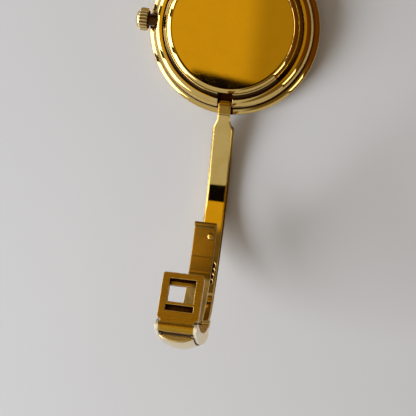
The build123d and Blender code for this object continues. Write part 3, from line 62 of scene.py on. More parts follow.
class Graph:
    """Adds shader nodes to one tree and joins them, so that each material reads as a short recipe."""

    def __init__(self, tree: bpy.types.NodeTree) -> None:
        """Keeps the tree that the nodes go into."""
        self.tree = tree

    def add(self, kind: str, **settings: object) -> Node:
        """Adds one node.

        Args:
            kind: Blender's type name of the node.
            settings: properties of the node to set.

        Returns:
            The new node.
        """
        node = self.tree.nodes.new(kind)
        for name, value in settings.items():
            setattr(node, name, value)
        return node

    def join(self, source: Feed, target: Socket) -> None:
        """Feeds a socket.

        Args:
            source: another socket to join, or a plain value to set.
            target: the socket that is fed.
        """
        if isinstance(source, Socket):
            self.tree.links.new(source, target)
        else:
            target.default_value = source

    def maths(self, operation: str, a: Feed, b: Feed = 0.0, c: Feed = 0.0) -> Socket:
        """One Math node.

        Args:
            operation: the node's operation.
            a: first value or socket.
            b: second value or socket.
            c: third value or socket.

        Returns:
            The result's socket.
        """
        node = self.add("ShaderNodeMath", operation=operation)
        for socket, value in zip(node.inputs, (a, b, c)):
            self.join(value, socket)
        return node.outputs[0]

    def apart(self, value: Feed, middle: Feed) -> Socket:
        """How far a value lies from a middle, to either side."""
        return self.maths("ABSOLUTE", self.maths("SUBTRACT", value, middle))

    def spread(self, value: Feed, low: Feed, high: Feed, to_low: float = 0.0, to_high: float = 1.0) -> Socket:
        """A smooth step of a value from one range to another.

        Args:
            value: the value that is read.
            low: where the step starts.
            high: where the step ends.
            to_low: the result below low.
            to_high: the result above high.

        Returns:
            The result's socket.
        """
        node = self.add("ShaderNodeMapRange", interpolation_type="SMOOTHSTEP", clamp=True)
        for socket, number in zip(node.inputs, (value, low, high, to_low, to_high)):
            self.join(number, socket)
        return node.outputs[0]

    def within(self, value: Feed, low: float, high: float, soft: float) -> Socket:
        """A mask of the values between two bounds.

        Args:
            value: the value that is read.
            low: the lower bound.
            high: the upper bound.
            soft: how far the mask's steps reach to each side of a bound.

        Returns:
            The mask's socket, 1 between the bounds.
        """
        rising = self.spread(value, low - soft, low + soft)
        return self.maths("MULTIPLY", rising, self.spread(value, high - soft, high + soft, 1.0, 0.0))

    def blend(self, share: Feed, a: Feed, b: Feed) -> Socket:
        """A colour between two colours.

        Args:
            share: 0 gives the first colour and 1 the second.
            a: first colour or socket.
            b: second colour or socket.

        Returns:
            The mixed colour's socket.
        """
        node = self.add("ShaderNodeMix", data_type="RGBA")
        self.join(share, node.inputs[0])
        for colour, target in ((a, node.inputs[6]), (b, node.inputs[7])):
            self.join(colour if isinstance(colour, Socket) else (*colour, 1.0), target)
        return node.outputs[2]

    def stepped(self, value: Socket, edge: float, soft: float, before: Feed, after: Feed) -> Socket:
        """One colour up to an edge and another beyond it.

        Args:
            value: the value that is read.
            edge: where the colour changes.
            soft: how far the change reaches to each side of the edge.
            before: the colour below the edge.
            after: the colour above it.

        Returns:
            The colour's socket.
        """
        return self.blend(self.spread(value, edge - soft, edge + soft), before, after)

    def vector(self, operation: str, a: Feed, b: Feed = (0.0, 0.0, 0.0)) -> Node:
        """One Vector Math node.

        Args:
            operation: the node's operation.
            a: first vector or socket.
            b: second vector or socket.

        Returns:
            The node.
        """
        node = self.add("ShaderNodeVectorMath", operation=operation)
        self.join(a, node.inputs[0])
        self.join(b, node.inputs[1])
        return node

    def axes(self, vector: Socket) -> tuple[Socket, ...]:
        """Splits coordinates.

        Args:
            vector: the coordinates.

        Returns:
            The sockets of x, y and z.
        """
        split = self.add("ShaderNodeSeparateXYZ")
        self.join(vector, split.inputs[0])
        return tuple(split.outputs)

    def stretched(self, vector: Socket, scale: Triple, turn: Triple = (0.0, 0.0, 0.0)) -> Socket:
        """A Mapping node that turns and stretches coordinates.

        Args:
            vector: the coordinates.
            scale: stretch along each axis.
            turn: angles in degrees.

        Returns:
            The new coordinates' socket.
        """
        node = self.add("ShaderNodeMapping")
        self.join(vector, node.inputs["Vector"])
        node.inputs["Scale"].default_value = scale
        node.inputs["Rotation"].default_value = tuple(math.radians(a) for a in turn)
        return node.outputs[0]

    def radius(self, vector: Socket) -> Socket:
        """The distance from the Z axis."""
        return self.vector("LENGTH", self.stretched(vector, (1.0, 1.0, 0.0))).outputs["Value"]

    def noise(
        self, vector: Socket, scale: Feed, detail: float = 3.0, rough: float = 0.5, warp: float = 0.0
    ) -> Socket:
        """The factor of a Noise texture.

        Args:
            vector: the coordinates.
            scale: size of the pattern.
            detail: how many layers it has.
            rough: how strong the finer layers are.
            warp: how far it is distorted.

        Returns:
            The factor's socket.
        """
        node = self.add("ShaderNodeTexNoise")
        numbers = {"Vector": vector, "Scale": scale, "Detail": detail, "Roughness": rough, "Distortion": warp}
        for name, value in numbers.items():
            self.join(value, node.inputs[name])
        return node.outputs[0]


class Effects:
    """Shader node groups for the effects that several finishes share. Each is built once, in millimetres."""

    def __init__(self) -> None:
        """Builds every group."""
        self.hairlines = self.build_hairlines()
        self.film = self.build_film()
        self.turned = self.build_turned()
        self.grain = self.build_grain()
        self.moulded = self.build_moulded()

    @staticmethod
    def opened(name: str, outputs: tuple[str, ...], **inputs: float) -> tuple[Graph, dict[str, Socket], Node]:
        """Makes an empty group with a Vector input.

        Args:
            name: the group's name.
            outputs: the names of its outputs.
            inputs: its number inputs and their values.

        Returns:
            The graph, the sockets that its inputs come from, and its output node.
        """
        tree = bpy.data.node_groups.new(name, "ShaderNodeTree")
        tree.interface.new_socket(name="Vector", in_out="INPUT", socket_type="NodeSocketVector")
        for label, value in inputs.items():
            socket = tree.interface.new_socket(name=label, in_out="INPUT", socket_type="NodeSocketFloat")
            socket.default_value = value
        for label in outputs:
            tree.interface.new_socket(name=label, in_out="OUTPUT", socket_type="NodeSocketFloat")
        graph = Graph(tree)
        source = graph.add("NodeGroupInput")
        given = {label: source.outputs[label] for label in ("Vector", *inputs)}
        return graph, given, graph.add("NodeGroupOutput")

    def build_hairlines(self) -> bpy.types.NodeTree:
        """Fine handling scratches: thin contour bands of noises stretched twentyfold along crossing lines.

        Returns:
            The group.
        """
        graph, given, sink = self.opened("hairline scratches", ("Mask", "Height"), Scale=1.0, Width=0.012)
        total = 0.0
        for turn, seed in ((23.0, 0.0), (-51.0, 3.7), (84.0, 8.1)):
            moved = graph.vector("ADD", given["Vector"], (seed, seed * 0.7, seed * 0.3)).outputs[0]
            lines = graph.stretched(moved, (0.16, 3.4, 3.4), (0.0, 0.0, turn))
            wave = graph.noise(lines, given["Scale"], 2.0, 0.45, 0.12)
            line = graph.spread(graph.apart(wave, 0.5), 0.0, given["Width"], 1.0, 0.0)
            patchy = graph.spread(graph.noise(moved, 0.55, 1.0), 0.44, 0.62)
            total = graph.maths("MAXIMUM", total, graph.maths("MULTIPLY", line, patchy))
        graph.join(total, sink.inputs["Mask"])
        graph.join(graph.maths("SUBTRACT", 1.0, total), sink.inputs["Height"])
        return graph.tree

    def build_film(self) -> bpy.types.NodeTree:
        """A faint film from handling: broad cloudy patches broken by a finer cloud.

        Returns:
            The group.
        """
        graph, given, sink = self.opened("handling film", ("Film",), Scale=0.35)
        broad = graph.noise(given["Vector"], given["Scale"], 3.0, 0.55, 0.6)
        fine = graph.noise(given["Vector"], graph.maths("MULTIPLY", given["Scale"], 7.0), 4.0, 0.6)
        mixed = graph.maths("ADD", graph.maths("MULTIPLY", broad, 0.75), graph.maths("MULTIPLY", fine, 0.25))
        graph.join(graph.spread(mixed, 0.38, 0.66), sink.inputs["Film"])
        return graph.tree

    def build_turned(self) -> bpy.types.NodeTree:
        """Turning lines: rings round the vector's Z axis, a sine of the radius with a noise on its phase.

        Returns:
            The group.
        """
        graph, given, sink = self.opened("turning lines", ("Ring", "Height"), Pitch=0.06, Waver=0.3)
        phase = graph.maths("DIVIDE", graph.radius(given["Vector"]), given["Pitch"])
        waver = graph.maths("MULTIPLY", graph.noise(given["Vector"], 2.2, 3.0), given["Waver"])
        turns = graph.maths("MULTIPLY", graph.maths("ADD", phase, waver), math.tau)
        ring = graph.maths("MULTIPLY_ADD", graph.maths("SINE", turns), 0.5, 0.5)
        uneven = graph.noise(graph.stretched(given["Vector"], (0.0, 0.0, 1.0)), 9.0, 2.0)
        graph.join(ring, sink.inputs["Ring"])
        graph.join(graph.maths("MULTIPLY", ring, graph.maths("ADD", uneven, 0.5)), sink.inputs["Height"])
        return graph.tree

    def build_grain(self) -> bpy.types.NodeTree:
        """Straight brushed grain along X: a fine noise stretched sixtyfold.

        Returns:
            The group.
        """
        graph, given, sink = self.opened("brushed grain", ("Grain",), Scale=6.0)
        fine = graph.noise(graph.stretched(given["Vector"], (0.05, 3.0, 3.0)), given["Scale"], 4.0, 0.7)
        graph.join(graph.spread(fine, 0.3, 0.7), sink.inputs["Grain"])
        return graph.tree

    def build_moulded(self) -> bpy.types.NodeTree:
        """The skin of a moulded or cast part: a fine pebble over slow unevenness.

        Returns:
            The group.
        """
        graph, given, sink = self.opened("moulded skin", ("Pebble", "Cloud"), Scale=8.0)
        slow = graph.maths("MULTIPLY", given["Scale"], 0.12)
        graph.join(graph.noise(given["Vector"], given["Scale"], 5.0, 0.65), sink.inputs["Pebble"])
        graph.join(graph.noise(given["Vector"], slow, 2.0), sink.inputs["Cloud"])
        return graph.tree


class Coat(Graph):
    """The graph of a material in the making, with its shader and with its coordinates in millimetres."""

    def __init__(self, name: str, effects: Effects) -> None:
        """Starts the material.

        Args:
            name: the material's name.
            effects: the shared node groups.
        """
        self.material = bpy.data.materials.new(name)
        self.material.use_nodes = True
        super().__init__(self.material.node_tree)
        self.tree.nodes.clear()
        self.effects = effects
        self.shader = self.add("ShaderNodeBsdfPrincipled")
        self.join(self.shader.outputs[0], self.add("ShaderNodeOutputMaterial").inputs["Surface"])
        scaled = self.vector("SCALE", self.add("ShaderNodeTexCoord").outputs["Object"])
        scaled.inputs["Scale"].default_value = 1.0 / MM
        self.place = scaled.outputs[0]

    def feed(self, name: str, source: Feed) -> None:
        """Feeds one of the shader's own sockets."""
        self.join(source, self.shader.inputs[name])

    def effect(self, group: bpy.types.NodeTree, vector: Socket | None = None, **values: float) -> Node:
        """Places one shared group in the material.

        Args:
            group: the group.
            vector: the coordinates that it reads, or None for the material's own.
            values: the group's numbers, by name.

        Returns:
            The group's node.
        """
        node = self.add("ShaderNodeGroup", node_tree=group)
        self.join(self.place if vector is None else vector, node.inputs["Vector"])
        for name, value in values.items():
            self.join(value, node.inputs[name.capitalize()])
        return node

    def film(self, scale: float) -> Socket:
        """The mask of the handling film."""
        return self.effect(self.effects.film, scale=scale).outputs["Film"]

    def bevelled(self, radius: float) -> Socket:
        """The normal with the edges broken by a radius in metres.

        Args:
            radius: the radius of the broken edges.

        Returns:
            The normal's socket.
        """
        node = self.add("ShaderNodeBevel", samples=6)
        node.inputs["Radius"].default_value = radius
        return node.outputs[0]

    def bump(self, height: Socket, strength: float, distance: float, edge: float = 0.0) -> None:
        """Joins a height to the shader's normal, over edges that are broken by a small radius.

        Args:
            height: the height's socket.
            strength: the Bump node's strength.
            distance: the Bump node's distance in metres.
            edge: the radius of the broken edges in metres, or 0 for none.
        """
        node = self.add("ShaderNodeBump")
        node.inputs["Strength"].default_value = strength
        node.inputs["Distance"].default_value = distance
        self.join(height, node.inputs["Height"])
        if edge:
            self.join(self.bevelled(edge), node.inputs["Normal"])
        self.feed("Normal", node.outputs[0])

    def painted_seam_shade(self, reach: float, low: float, high: float) -> Socket:
        """How deep in a seam or corner a point lies, read from ambient occlusion, as a mask for painted
        shade.

        Args:
            reach: how far the seam's other wall may be, in metres.
            low: the openness at which the mask is full.
            high: the openness at which it ends.

        Returns:
            The mask's socket, 1 in the seam.
        """
        node = self.add("ShaderNodeAmbientOcclusion", samples=8)
        node.inputs["Distance"].default_value = reach
        return self.spread(node.outputs["AO"], low, high, 1.0, 0.0)


# Near-black red-brown for painted shade in seams, creases and notches.
SEAM_SHADE = (0.07, 0.022, 0.004)


@dataclass(frozen=True, kw_only=True)
class Mark:
    """A place on a finish that takes another colour, and may be duller than the finish round it; most marks
    here are painted shade or painted highlight.
    """

    colour: Triple = SEAM_SHADE
    duller: float = 0.0

    def mask(self, coat: Coat) -> Socket:
        """The mark's mask, which each kind of mark works out in its own way."""
        raise NotImplementedError


class Along(Enum):
    """What a stretch is measured by: the reach |y| from the case's axis, or the height z.

    Each option is its coordinate's number.
    """

    REACH = 1
    HEIGHT = 2


@dataclass(frozen=True, kw_only=True)
class Stretch(Mark):
    """A stretch of the bangle between two distances, with soft ends."""

    along: Along = Along.REACH
    start: float = -FAR
    end: float = FAR
    soft: float

    def mask(self, coat: Coat) -> Socket:
        """The stretch's mask.

        Args:
            coat: the material in the making.

        Returns:
            The mask's socket, 1 within the stretch.
        """
        distance = coat.maths("ABSOLUTE", coat.axes(coat.place)[self.along.value])
        return coat.within(distance, self.start, self.end, self.soft)


@dataclass(frozen=True, kw_only=True)
class NotchShade(Mark):
    """Painted shade in the row of detent notches inside the lower arm's curl, by angles from straight down.
    """

    count: int = 4
    first: float = 33.5
    pitch: float = 2.86
    side: float = 0.9
    radius: float = 0.5
    soft: float = 0.12
    centre: Pair = (25.3, 21.45)
    curl: float = 19.4

    def mask(self, coat: Coat) -> Socket:
        """The notches' mask.

        With a the angle round the curl's centre, a point lies R p (fract((a - a0) / p + 0.5) - 0.5) along the
        row from the nearest notch, and x - x0 beside it.

        Args:
            coat: the material in the making.

        Returns:
            The mask's socket, 1 in a notch.
        """
        x, y, z = coat.axes(coat.place)
        reach = coat.maths("SUBTRACT", coat.maths("MULTIPLY", y, -1.0), self.centre[0])
        angle = coat.maths("ARCTAN2", reach, coat.maths("SUBTRACT", self.centre[1], z))
        pitch = math.radians(self.pitch)
        number = coat.maths("DIVIDE", coat.maths("SUBTRACT", angle, math.radians(self.first)), pitch)
        along = coat.maths("SUBTRACT", coat.maths("FRACT", coat.maths("ADD", number, 0.5)), 0.5)
        along = coat.maths("MULTIPLY", along, pitch * self.curl)
        beside = coat.maths("SUBTRACT", x, self.side)
        square = coat.maths("MULTIPLY_ADD", along, along, coat.maths("MULTIPLY", beside, beside))
        inside = coat.spread(coat.maths("SQRT", square), self.radius - self.soft, self.radius, 1.0, 0.0)
        half = self.count / 2
        row = coat.spread(coat.apart(number, half - 0.5), half, half + 0.1, 1.0, 0.0)
        return coat.maths("MULTIPLY", inside, row)


@dataclass(frozen=True, kw_only=True)
class GrooveShade(Mark):
    """Painted shade in the case's round grooves, darkest towards the lower arm, and in the slot of the hinge.

    Each ring is a groove's two radii, and the slot is half its width and the height that its shade ends at.
    """

    colour: Triple = (0.022, 0.007, 0.002)
    rings: tuple[Pair, ...]
    ring_soft: float = 0.03
    thick: float = 0.97
    thin: float = 0.4
    thick_until: float = -6.5
    thin_from: float = -2.0
    slot: Pair | None = None
    slot_soft: float = 0.02
    slot_fade: float = 0.3
    slot_thick: float = 0.96

    def mask(self, coat: Coat) -> Socket:
        """The grooves' mask.

        Args:
            coat: the material in the making.

        Returns:
            The mask's socket, nearly 1 in a groove.
        """
        x, y, z = coat.axes(coat.place)
        radius = coat.radius(coat.place)
        total = 0.0
        for start, end in self.rings:
            total = coat.maths("MAXIMUM", total, coat.within(radius, start, end, self.ring_soft))
        share = coat.spread(y, self.thick_until, self.thin_from, self.thick, self.thin)
        total = coat.maths("MULTIPLY", total, share)
        if self.slot:
            half, top = self.slot
            across = coat.maths("ABSOLUTE", x)
            beside = coat.spread(across, half - self.slot_soft, half + self.slot_soft, self.slot_thick, 0.0)
            below = coat.spread(z, top - self.slot_fade, top, 1.0, 0.0)
            total = coat.maths("MAXIMUM", total, coat.maths("MULTIPLY", beside, below))
        return total


@dataclass(frozen=True)
class Finish:
    """What every finish has: a name, two colours that it varies between, a gloss, a film and a relief."""

    name: str
    colour: Triple
    shade: Triple
    roughness: float
    film_scale: float = 0.5
    film_dulls: float = 0.08
    bump_strength: float = 0.3
    bump_depth: float = 0.00001

    def made(self, effects: Effects) -> bpy.types.Material:
        """Builds the material.

        Args:
            effects: the shared node groups.

        Returns:
            The material.
        """
        coat = Coat(self.name, effects)
        self.mix(coat)
        return coat.material

    def mix(self, coat: Coat) -> None:
        """Joins the finish's nodes in the material, which each finish does in its own way."""
        raise NotImplementedError

    def brighter(self, share: float) -> Triple:
        """The finish's colour, made brighter or darker."""
        return tuple(part * share for part in self.colour)

    def relief(self, coat: Coat, height: Socket, edge: float = 0.0) -> None:
        """Gives the material a height, and edges broken by a radius in metres."""
        coat.bump(height, self.bump_strength, self.bump_depth, edge)


class Wear(Enum):
    """How much a gilt piece has been handled."""

    KEPT = 0.4
    WORN = 1.0


@dataclass(frozen=True)
class GiltFinish(Finish):
    """Polished gold plate: mirror gloss under a thin film, with hairlines, slow waves and painted shade in
    its seams.
    """

    film_scale: float = 0.32
    film_dulls: float = 0.02
    bump_strength: float = 0.35
    bump_depth: float = 0.00006
    wear: Wear = Wear.WORN
    waviness: float = 0.3
    wave_scale: float = 0.5
    scratch_scale: float = 1.3
    scratch_width: float = 0.009
    scratch_shows: float = 0.35
    scratch_lightens: float = 1.05
    scratch_dulls: float = 0.12
    scratch_depth: float = 0.004
    seam: Triple = SEAM_SHADE
    seam_reach: float = 0.0007
    seam_open: Pair = (0.45, 0.95)
    seam_dulls: float = 0.25
    edge: float = 0.00007
    marks: tuple[Mark, ...] = ()

    def mix(self, coat: Coat) -> None:
        """Mixes the gilt: film, then scratches, then the marks, then painted shade in its seams.

        Args:
            coat: the material in the making.
        """
        worn = self.wear.value
        film = coat.film(self.film_scale)
        scratch = coat.effect(coat.effects.hairlines, scale=self.scratch_scale, width=self.scratch_width)
        lines, ridges = scratch.outputs["Mask"], scratch.outputs["Height"]
        shown = coat.maths("MULTIPLY", lines, self.scratch_shows)
        line_colour = self.brighter(self.scratch_lightens)
        bare = coat.blend(shown, coat.blend(film, self.colour, self.shade), line_colour)
        rough = coat.maths("MULTIPLY_ADD", film, self.film_dulls * worn, self.roughness)
        rough = coat.maths("MULTIPLY_ADD", lines, self.scratch_dulls * worn, rough)
        for mark in self.marks:
            mask = mark.mask(coat)
            bare = coat.blend(mask, bare, mark.colour)
            if mark.duller:
                rough = coat.maths("MULTIPLY_ADD", mask, mark.duller, rough)
        # Ambient occlusion blends the seam colour into seams and corners: painted shade.
        deep = coat.painted_seam_shade(self.seam_reach, *self.seam_open)
        coat.feed("Base Color", coat.blend(deep, bare, self.seam))
        coat.feed("Roughness", coat.maths("MULTIPLY_ADD", deep, self.seam_dulls, rough))
        coat.feed("Metallic", 1.0)
        waves = coat.noise(coat.place, self.wave_scale, 2.0)
        raised = coat.maths("MULTIPLY", ridges, self.scratch_depth * worn)
        self.relief(coat, coat.maths("MULTIPLY_ADD", waves, self.waviness, raised), self.edge)


@dataclass(frozen=True)
class SatinFinish(Finish):
    """Gold plate dulled by rubbing: grain across the piece, a soft film, painted shade in its seams, and
    paler edges as wear and painted highlight.
    """

    film_scale: float = 0.7
    film_dulls: float = 0.06
    bump_strength: float = 0.25
    bump_depth: float = 0.000008
    grain_scale: float = 9.0
    grain_shows: float = 0.22
    grain_lightens: float = 1.25
    grain_dulls: float = 0.09
    scratch_scale: float = 1.6
    scratch_width: float = 0.008
    scratch_shows: float = 0.4
    scratch_lightens: float = 1.5
    seam: Triple = (0.03, 0.008, 0.003)
    seam_reach: float = 0.0010
    seam_open: Pair = (0.45, 0.95)
    edge: float = 0.00009
    # Edges take a paler colour, as wear and as painted highlight.
    rub: float = 0.00024
    edge_wear_and_highlight: Triple = (0.90, 0.66, 0.28)
    edge_wear_and_highlight_shows: float = 0.8
    edge_wear_and_highlight_lean: Pair = (0.88, 0.985)
    marks: tuple[Mark, ...] = ()

    def mix(self, coat: Coat) -> None:
        """Mixes the satin. An edge is paler, as wear and as painted highlight, where the bevelled normal
        leans away from the face's own.

        Args:
            coat: the material in the making.
        """
        grain = coat.effect(coat.effects.grain, scale=self.grain_scale).outputs["Grain"]
        film = coat.film(self.film_scale)
        scratch = coat.effect(coat.effects.hairlines, scale=self.scratch_scale, width=self.scratch_width)
        tint = coat.blend(film, self.colour, self.shade)
        grained = coat.maths("MULTIPLY", grain, self.grain_shows)
        lined = coat.blend(grained, tint, self.brighter(self.grain_lightens))
        shown = coat.maths("MULTIPLY", scratch.outputs["Mask"], self.scratch_shows)
        worn = coat.blend(shown, lined, self.brighter(self.scratch_lightens))
        for mark in self.marks:
            worn = coat.blend(mark.mask(coat), worn, mark.colour)
        flat = coat.add("ShaderNodeNewGeometry").outputs["Normal"]
        level = coat.vector("DOT_PRODUCT", coat.bevelled(self.rub), flat).outputs["Value"]
        worn = coat.blend(coat.spread(level, *self.edge_wear_and_highlight_lean, self.edge_wear_and_highlight_shows, 0.0), worn, self.edge_wear_and_highlight)
        # Ambient occlusion blends the seam colour into seams and corners: painted shade.
        deep = coat.painted_seam_shade(self.seam_reach, *self.seam_open)
        coat.feed("Base Color", coat.blend(deep, worn, self.seam))
        rough = coat.maths("MULTIPLY_ADD", grain, self.grain_dulls, self.roughness)
        coat.feed("Roughness", coat.maths("MULTIPLY_ADD", film, self.film_dulls, rough))
        coat.feed("Metallic", 1.0)
        self.relief(coat, grain, self.edge)


@dataclass(frozen=True)
class TurnedMetal(Finish):
    """Plain metal with turning lines round the watch's middle, for cells and wheels."""

    pitch: float = 0.08
    waver: float = 0.25
    ring_dulls: float = 0.1

    def mix(self, coat: Coat) -> None:
        """Mixes the turned metal.

        Args:
            coat: the material in the making.
        """
        rings = coat.effect(coat.effects.turned, pitch=self.pitch, waver=self.waver)
        film = coat.film(self.film_scale)
        coat.feed("Base Color", coat.blend(film, self.colour, self.shade))
        rough = coat.maths("MULTIPLY_ADD", rings.outputs["Ring"], self.ring_dulls, self.roughness)
        coat.feed("Roughness", coat.maths("MULTIPLY_ADD", film, self.film_dulls, rough))
        coat.feed("Metallic", 1.0)
        self.relief(coat, rings.outputs["Height"])


@dataclass(frozen=True)
class BrushedMetal(Finish):
    """Metal with straight grain, for stampings, bars and pins."""

    film_scale: float = 0.6
    bump_strength: float = 0.2
    grain_scale: float = 7.0
    grain_dulls: float = 0.14
    turn: float = 0.0

    def mix(self, coat: Coat) -> None:
        """Mixes the brushed metal.

        Args:
            coat: the material in the making.
        """
        turned = coat.stretched(coat.place, (1.0, 1.0, 1.0), (0.0, 0.0, self.turn))
        grain = coat.effect(coat.effects.grain, turned, scale=self.grain_scale).outputs["Grain"]
        coat.feed("Base Color", coat.blend(coat.film(self.film_scale), self.colour, self.shade))
        coat.feed("Roughness", coat.maths("MULTIPLY_ADD", grain, self.grain_dulls, self.roughness))
        coat.feed("Metallic", 1.0)
        self.relief(coat, grain)


@dataclass(frozen=True)
class MouldedFinish(Finish):
    """Rubber, plastic and resin: a fine pebble and a cloudy colour."""

    bump_strength: float = 0.4
    scale: float = 8.0
    pebble_dulls: float = 0.2

    def mix(self, coat: Coat) -> None:
        """Mixes the moulded skin.

        Args:
            coat: the material in the making.
        """
        skin = coat.effect(coat.effects.moulded, scale=self.scale)
        cloud = coat.spread(skin.outputs["Cloud"], 0.35, 0.65)
        coat.feed("Base Color", coat.blend(cloud, self.colour, self.shade))
        rough = coat.maths("MULTIPLY_ADD", skin.outputs["Pebble"], self.pebble_dulls, self.roughness)
        coat.feed("Roughness", rough)
        self.relief(coat, skin.outputs["Pebble"])


@dataclass(frozen=True)
class EnamelFinish(Finish):
    """The dial's lacquer: a sunburst of fine rays and a printed minute track under a clear coat."""

    bump_strength: float = 0.15
    rays: float = 46.0
    ray_dulls: float = 0.15
    film_shows: float = 0.15
    track: Pair = (8.52, 8.98)
    ticks: tuple[tuple[int, float], ...] = ((60, 0.035), (12, 0.018))
    line: Pair = (0.015, 0.03)
    ink: Triple = (0.03, 0.024, 0.018)
    sheen: float = 0.35
    film_darkens: float = 0.9
    clear_coat: float = 0.6
    clear_roughness: float = 0.08

    def printed(self, coat: Coat, angle: Socket) -> Socket:
        """The minute track: two fine rings, sixty ticks between them and a broad tick at each hour.

        With k marks round the dial, a point is |fract(k a / tau + 0.5) - 0.5| steps from the nearest mark.

        Args:
            coat: the material in the making.
            angle: the angle a round the dial.

        Returns:
            The mask's socket, 1 where there is ink.
        """
        radius = coat.radius(coat.place)
        ink = 0.0
        for marks, width in self.ticks:
            step = coat.maths("FRACT", coat.maths("MULTIPLY_ADD", angle, marks / math.tau, 0.5))
            mark = coat.spread(coat.apart(step, 0.5), width * 0.8, width * 1.2, 1.0, 0.0)
            ink = coat.maths("MAXIMUM", ink, mark)
        start, end = self.track
        ink = coat.maths("MULTIPLY", ink, coat.within(radius, start - HAIR, end + HAIR, HAIR))
        for ring in self.track:
            ink = coat.maths("MAXIMUM", ink, coat.spread(coat.apart(radius, ring), *self.line, 1.0, 0.0))
        return ink

    def mix(self, coat: Coat) -> None:
        """Mixes the lacquer.

        Args:
            coat: the material in the making.
        """
        x, y, _ = coat.axes(coat.place)
        angle = coat.maths("ARCTAN2", y, x)
        around = coat.add("ShaderNodeCombineXYZ")
        coat.join(coat.maths("MULTIPLY", angle, self.rays), around.inputs[0])
        ray = coat.noise(around.outputs[0], 1.0, 4.0, 0.7)
        shade = coat.blend(coat.spread(ray, 0.35, 0.65), self.colour, self.shade)
        film = coat.maths("MULTIPLY", coat.film(self.film_scale), self.film_shows)
        lacquer = coat.blend(film, shade, self.brighter(self.film_darkens))
        ink = self.printed(coat, angle)
        coat.feed("Base Color", coat.blend(ink, lacquer, self.ink))
        coat.feed("Roughness", coat.maths("MULTIPLY_ADD", ray, self.ray_dulls, self.roughness))
        coat.feed("Metallic", coat.maths("MULTIPLY_ADD", ink, -self.sheen, self.sheen))
        coat.feed("Coat Weight", self.clear_coat)
        coat.feed("Coat Roughness", self.clear_roughness)
        self.relief(coat, ray)


@dataclass(frozen=True)
class GlassFinish(Finish):
    """Mineral glass: clear, with a faint film and a few hairlines."""

    film_scale: float = 0.4
    film_dulls: float = 0.015
    bump_strength: float = 0.1
    bump_depth: float = 0.000005
    scratch_scale: float = 1.0
    scratch_width: float = 0.006
    scratch_dulls: float = 0.05
    bending: float = 1.52

    def mix(self, coat: Coat) -> None:
        """Mixes the glass.

        Args:
            coat: the material in the making.
        """
        film = coat.film(self.film_scale)
        scratch = coat.effect(coat.effects.hairlines, scale=self.scratch_scale, width=self.scratch_width)
        coat.feed("Base Color", coat.blend(film, self.colour, self.shade))
        rough = coat.maths("MULTIPLY_ADD", film, self.film_dulls, self.roughness)
        coat.feed("Roughness", coat.maths("MULTIPLY_ADD", scratch.outputs["Mask"], self.scratch_dulls, rough))
        coat.feed("Transmission Weight", 1.0)
        coat.feed("IOR", self.bending)
        self.relief(coat, scratch.outputs["Height"])


@dataclass(frozen=True)
class LaminateFinish(Finish):
    """The circuit board: a clouded solder mask, with plated tracks that follow a stepped noise."""

    track: Triple = (0.8, 0.45, 0.16)
    track_scale: float = 0.9
    track_edge: Pair = (0.012, 0.03)
    track_sheen: float = 0.8
    step: float = 0.22
    scale: float = 14.0
    pebble_dulls: float = 0.15

    def mix(self, coat: Coat) -> None:
        """Mixes the laminate.

        Args:
            coat: the material in the making.
        """
        snapped = coat.vector("SNAP", coat.place, (self.step,) * 3).outputs[0]
        line = coat.apart(coat.noise(snapped, self.track_scale, 1.0), 0.5)
        track = coat.spread(line, *self.track_edge, 1.0, 0.0)
        skin = coat.effect(coat.effects.moulded, scale=self.scale)
        mask = coat.blend(skin.outputs["Cloud"], self.colour, self.shade)
        coat.feed("Base Color", coat.blend(track, mask, self.track))
        coat.feed("Metallic", coat.maths("MULTIPLY", track, self.track_sheen))
        rough = coat.maths("MULTIPLY_ADD", skin.outputs["Pebble"], self.pebble_dulls, self.roughness)
        coat.feed("Roughness", rough)
        self.relief(coat, track)


@dataclass(frozen=True)
class CoilFinish(Finish):
    """Enamelled copper wire laid side by side: a fine ridge for each turn along X."""

    film_scale: float = 1.2
    film_dulls: float = 0.1
    bump_strength: float = 0.6
    bump_depth: float = 0.00002
    pitch: float = 0.07
    waver: float = 0.02

    def mix(self, coat: Coat) -> None:
        """Mixes the wire.

        Args:
            coat: the material in the making.
        """
        film = coat.film(self.film_scale)
        run = coat.maths("MULTIPLY_ADD", film, self.waver, coat.axes(coat.place)[0])
        turns = coat.maths("MULTIPLY", run, math.tau / self.pitch)
        ridge = coat.maths("MULTIPLY_ADD", coat.maths("SINE", turns), 0.5, 0.5)
        coat.feed("Base Color", coat.blend(ridge, self.shade, self.colour))
        coat.feed("Roughness", coat.maths("MULTIPLY_ADD", film, self.film_dulls, self.roughness))
        coat.feed("Metallic", 1.0)
        self.relief(coat, ridge)


GOLD = (0.80, 0.555, 0.185)
GOLD_SHADE = (0.76, 0.51, 0.15)
# The knuckle's darker brown and the dark line of its crease are painted shade.
KNUCKLE = Stretch(colour=(0.42, 0.235, 0.04), end=13.08, soft=0.04)
KNUCKLE_CREASE = Stretch(start=13.165, end=13.275, soft=0.035)
# Paler gold on the arm's high end and on the carriage's lips: painted highlight.
PAINTED_HIGHLIGHT_END = Stretch(colour=(0.90, 0.75, 0.45), duller=0.2, along=Along.HEIGHT, start=25.5, soft=3.5)
PAINTED_HIGHLIGHT_LIPS = Stretch(colour=(0.97, 0.89, 0.70), duller=0.2, along=Along.HEIGHT, start=25.0, soft=4.0)
LEAF_ROOT = Stretch(colour=(0.95, 0.70, 0.28), start=37.6, soft=0.4)
# Painted shade in the case's and the lid's grooves and in the hinge slot.
CASE_GROOVE_SHADE = GrooveShade(rings=((10.22, 10.86), (12.05, 12.28)), slot=(1.17, 4.5))
LID_GROOVE_SHADE = GrooveShade(rings=((9.14, 9.34),))

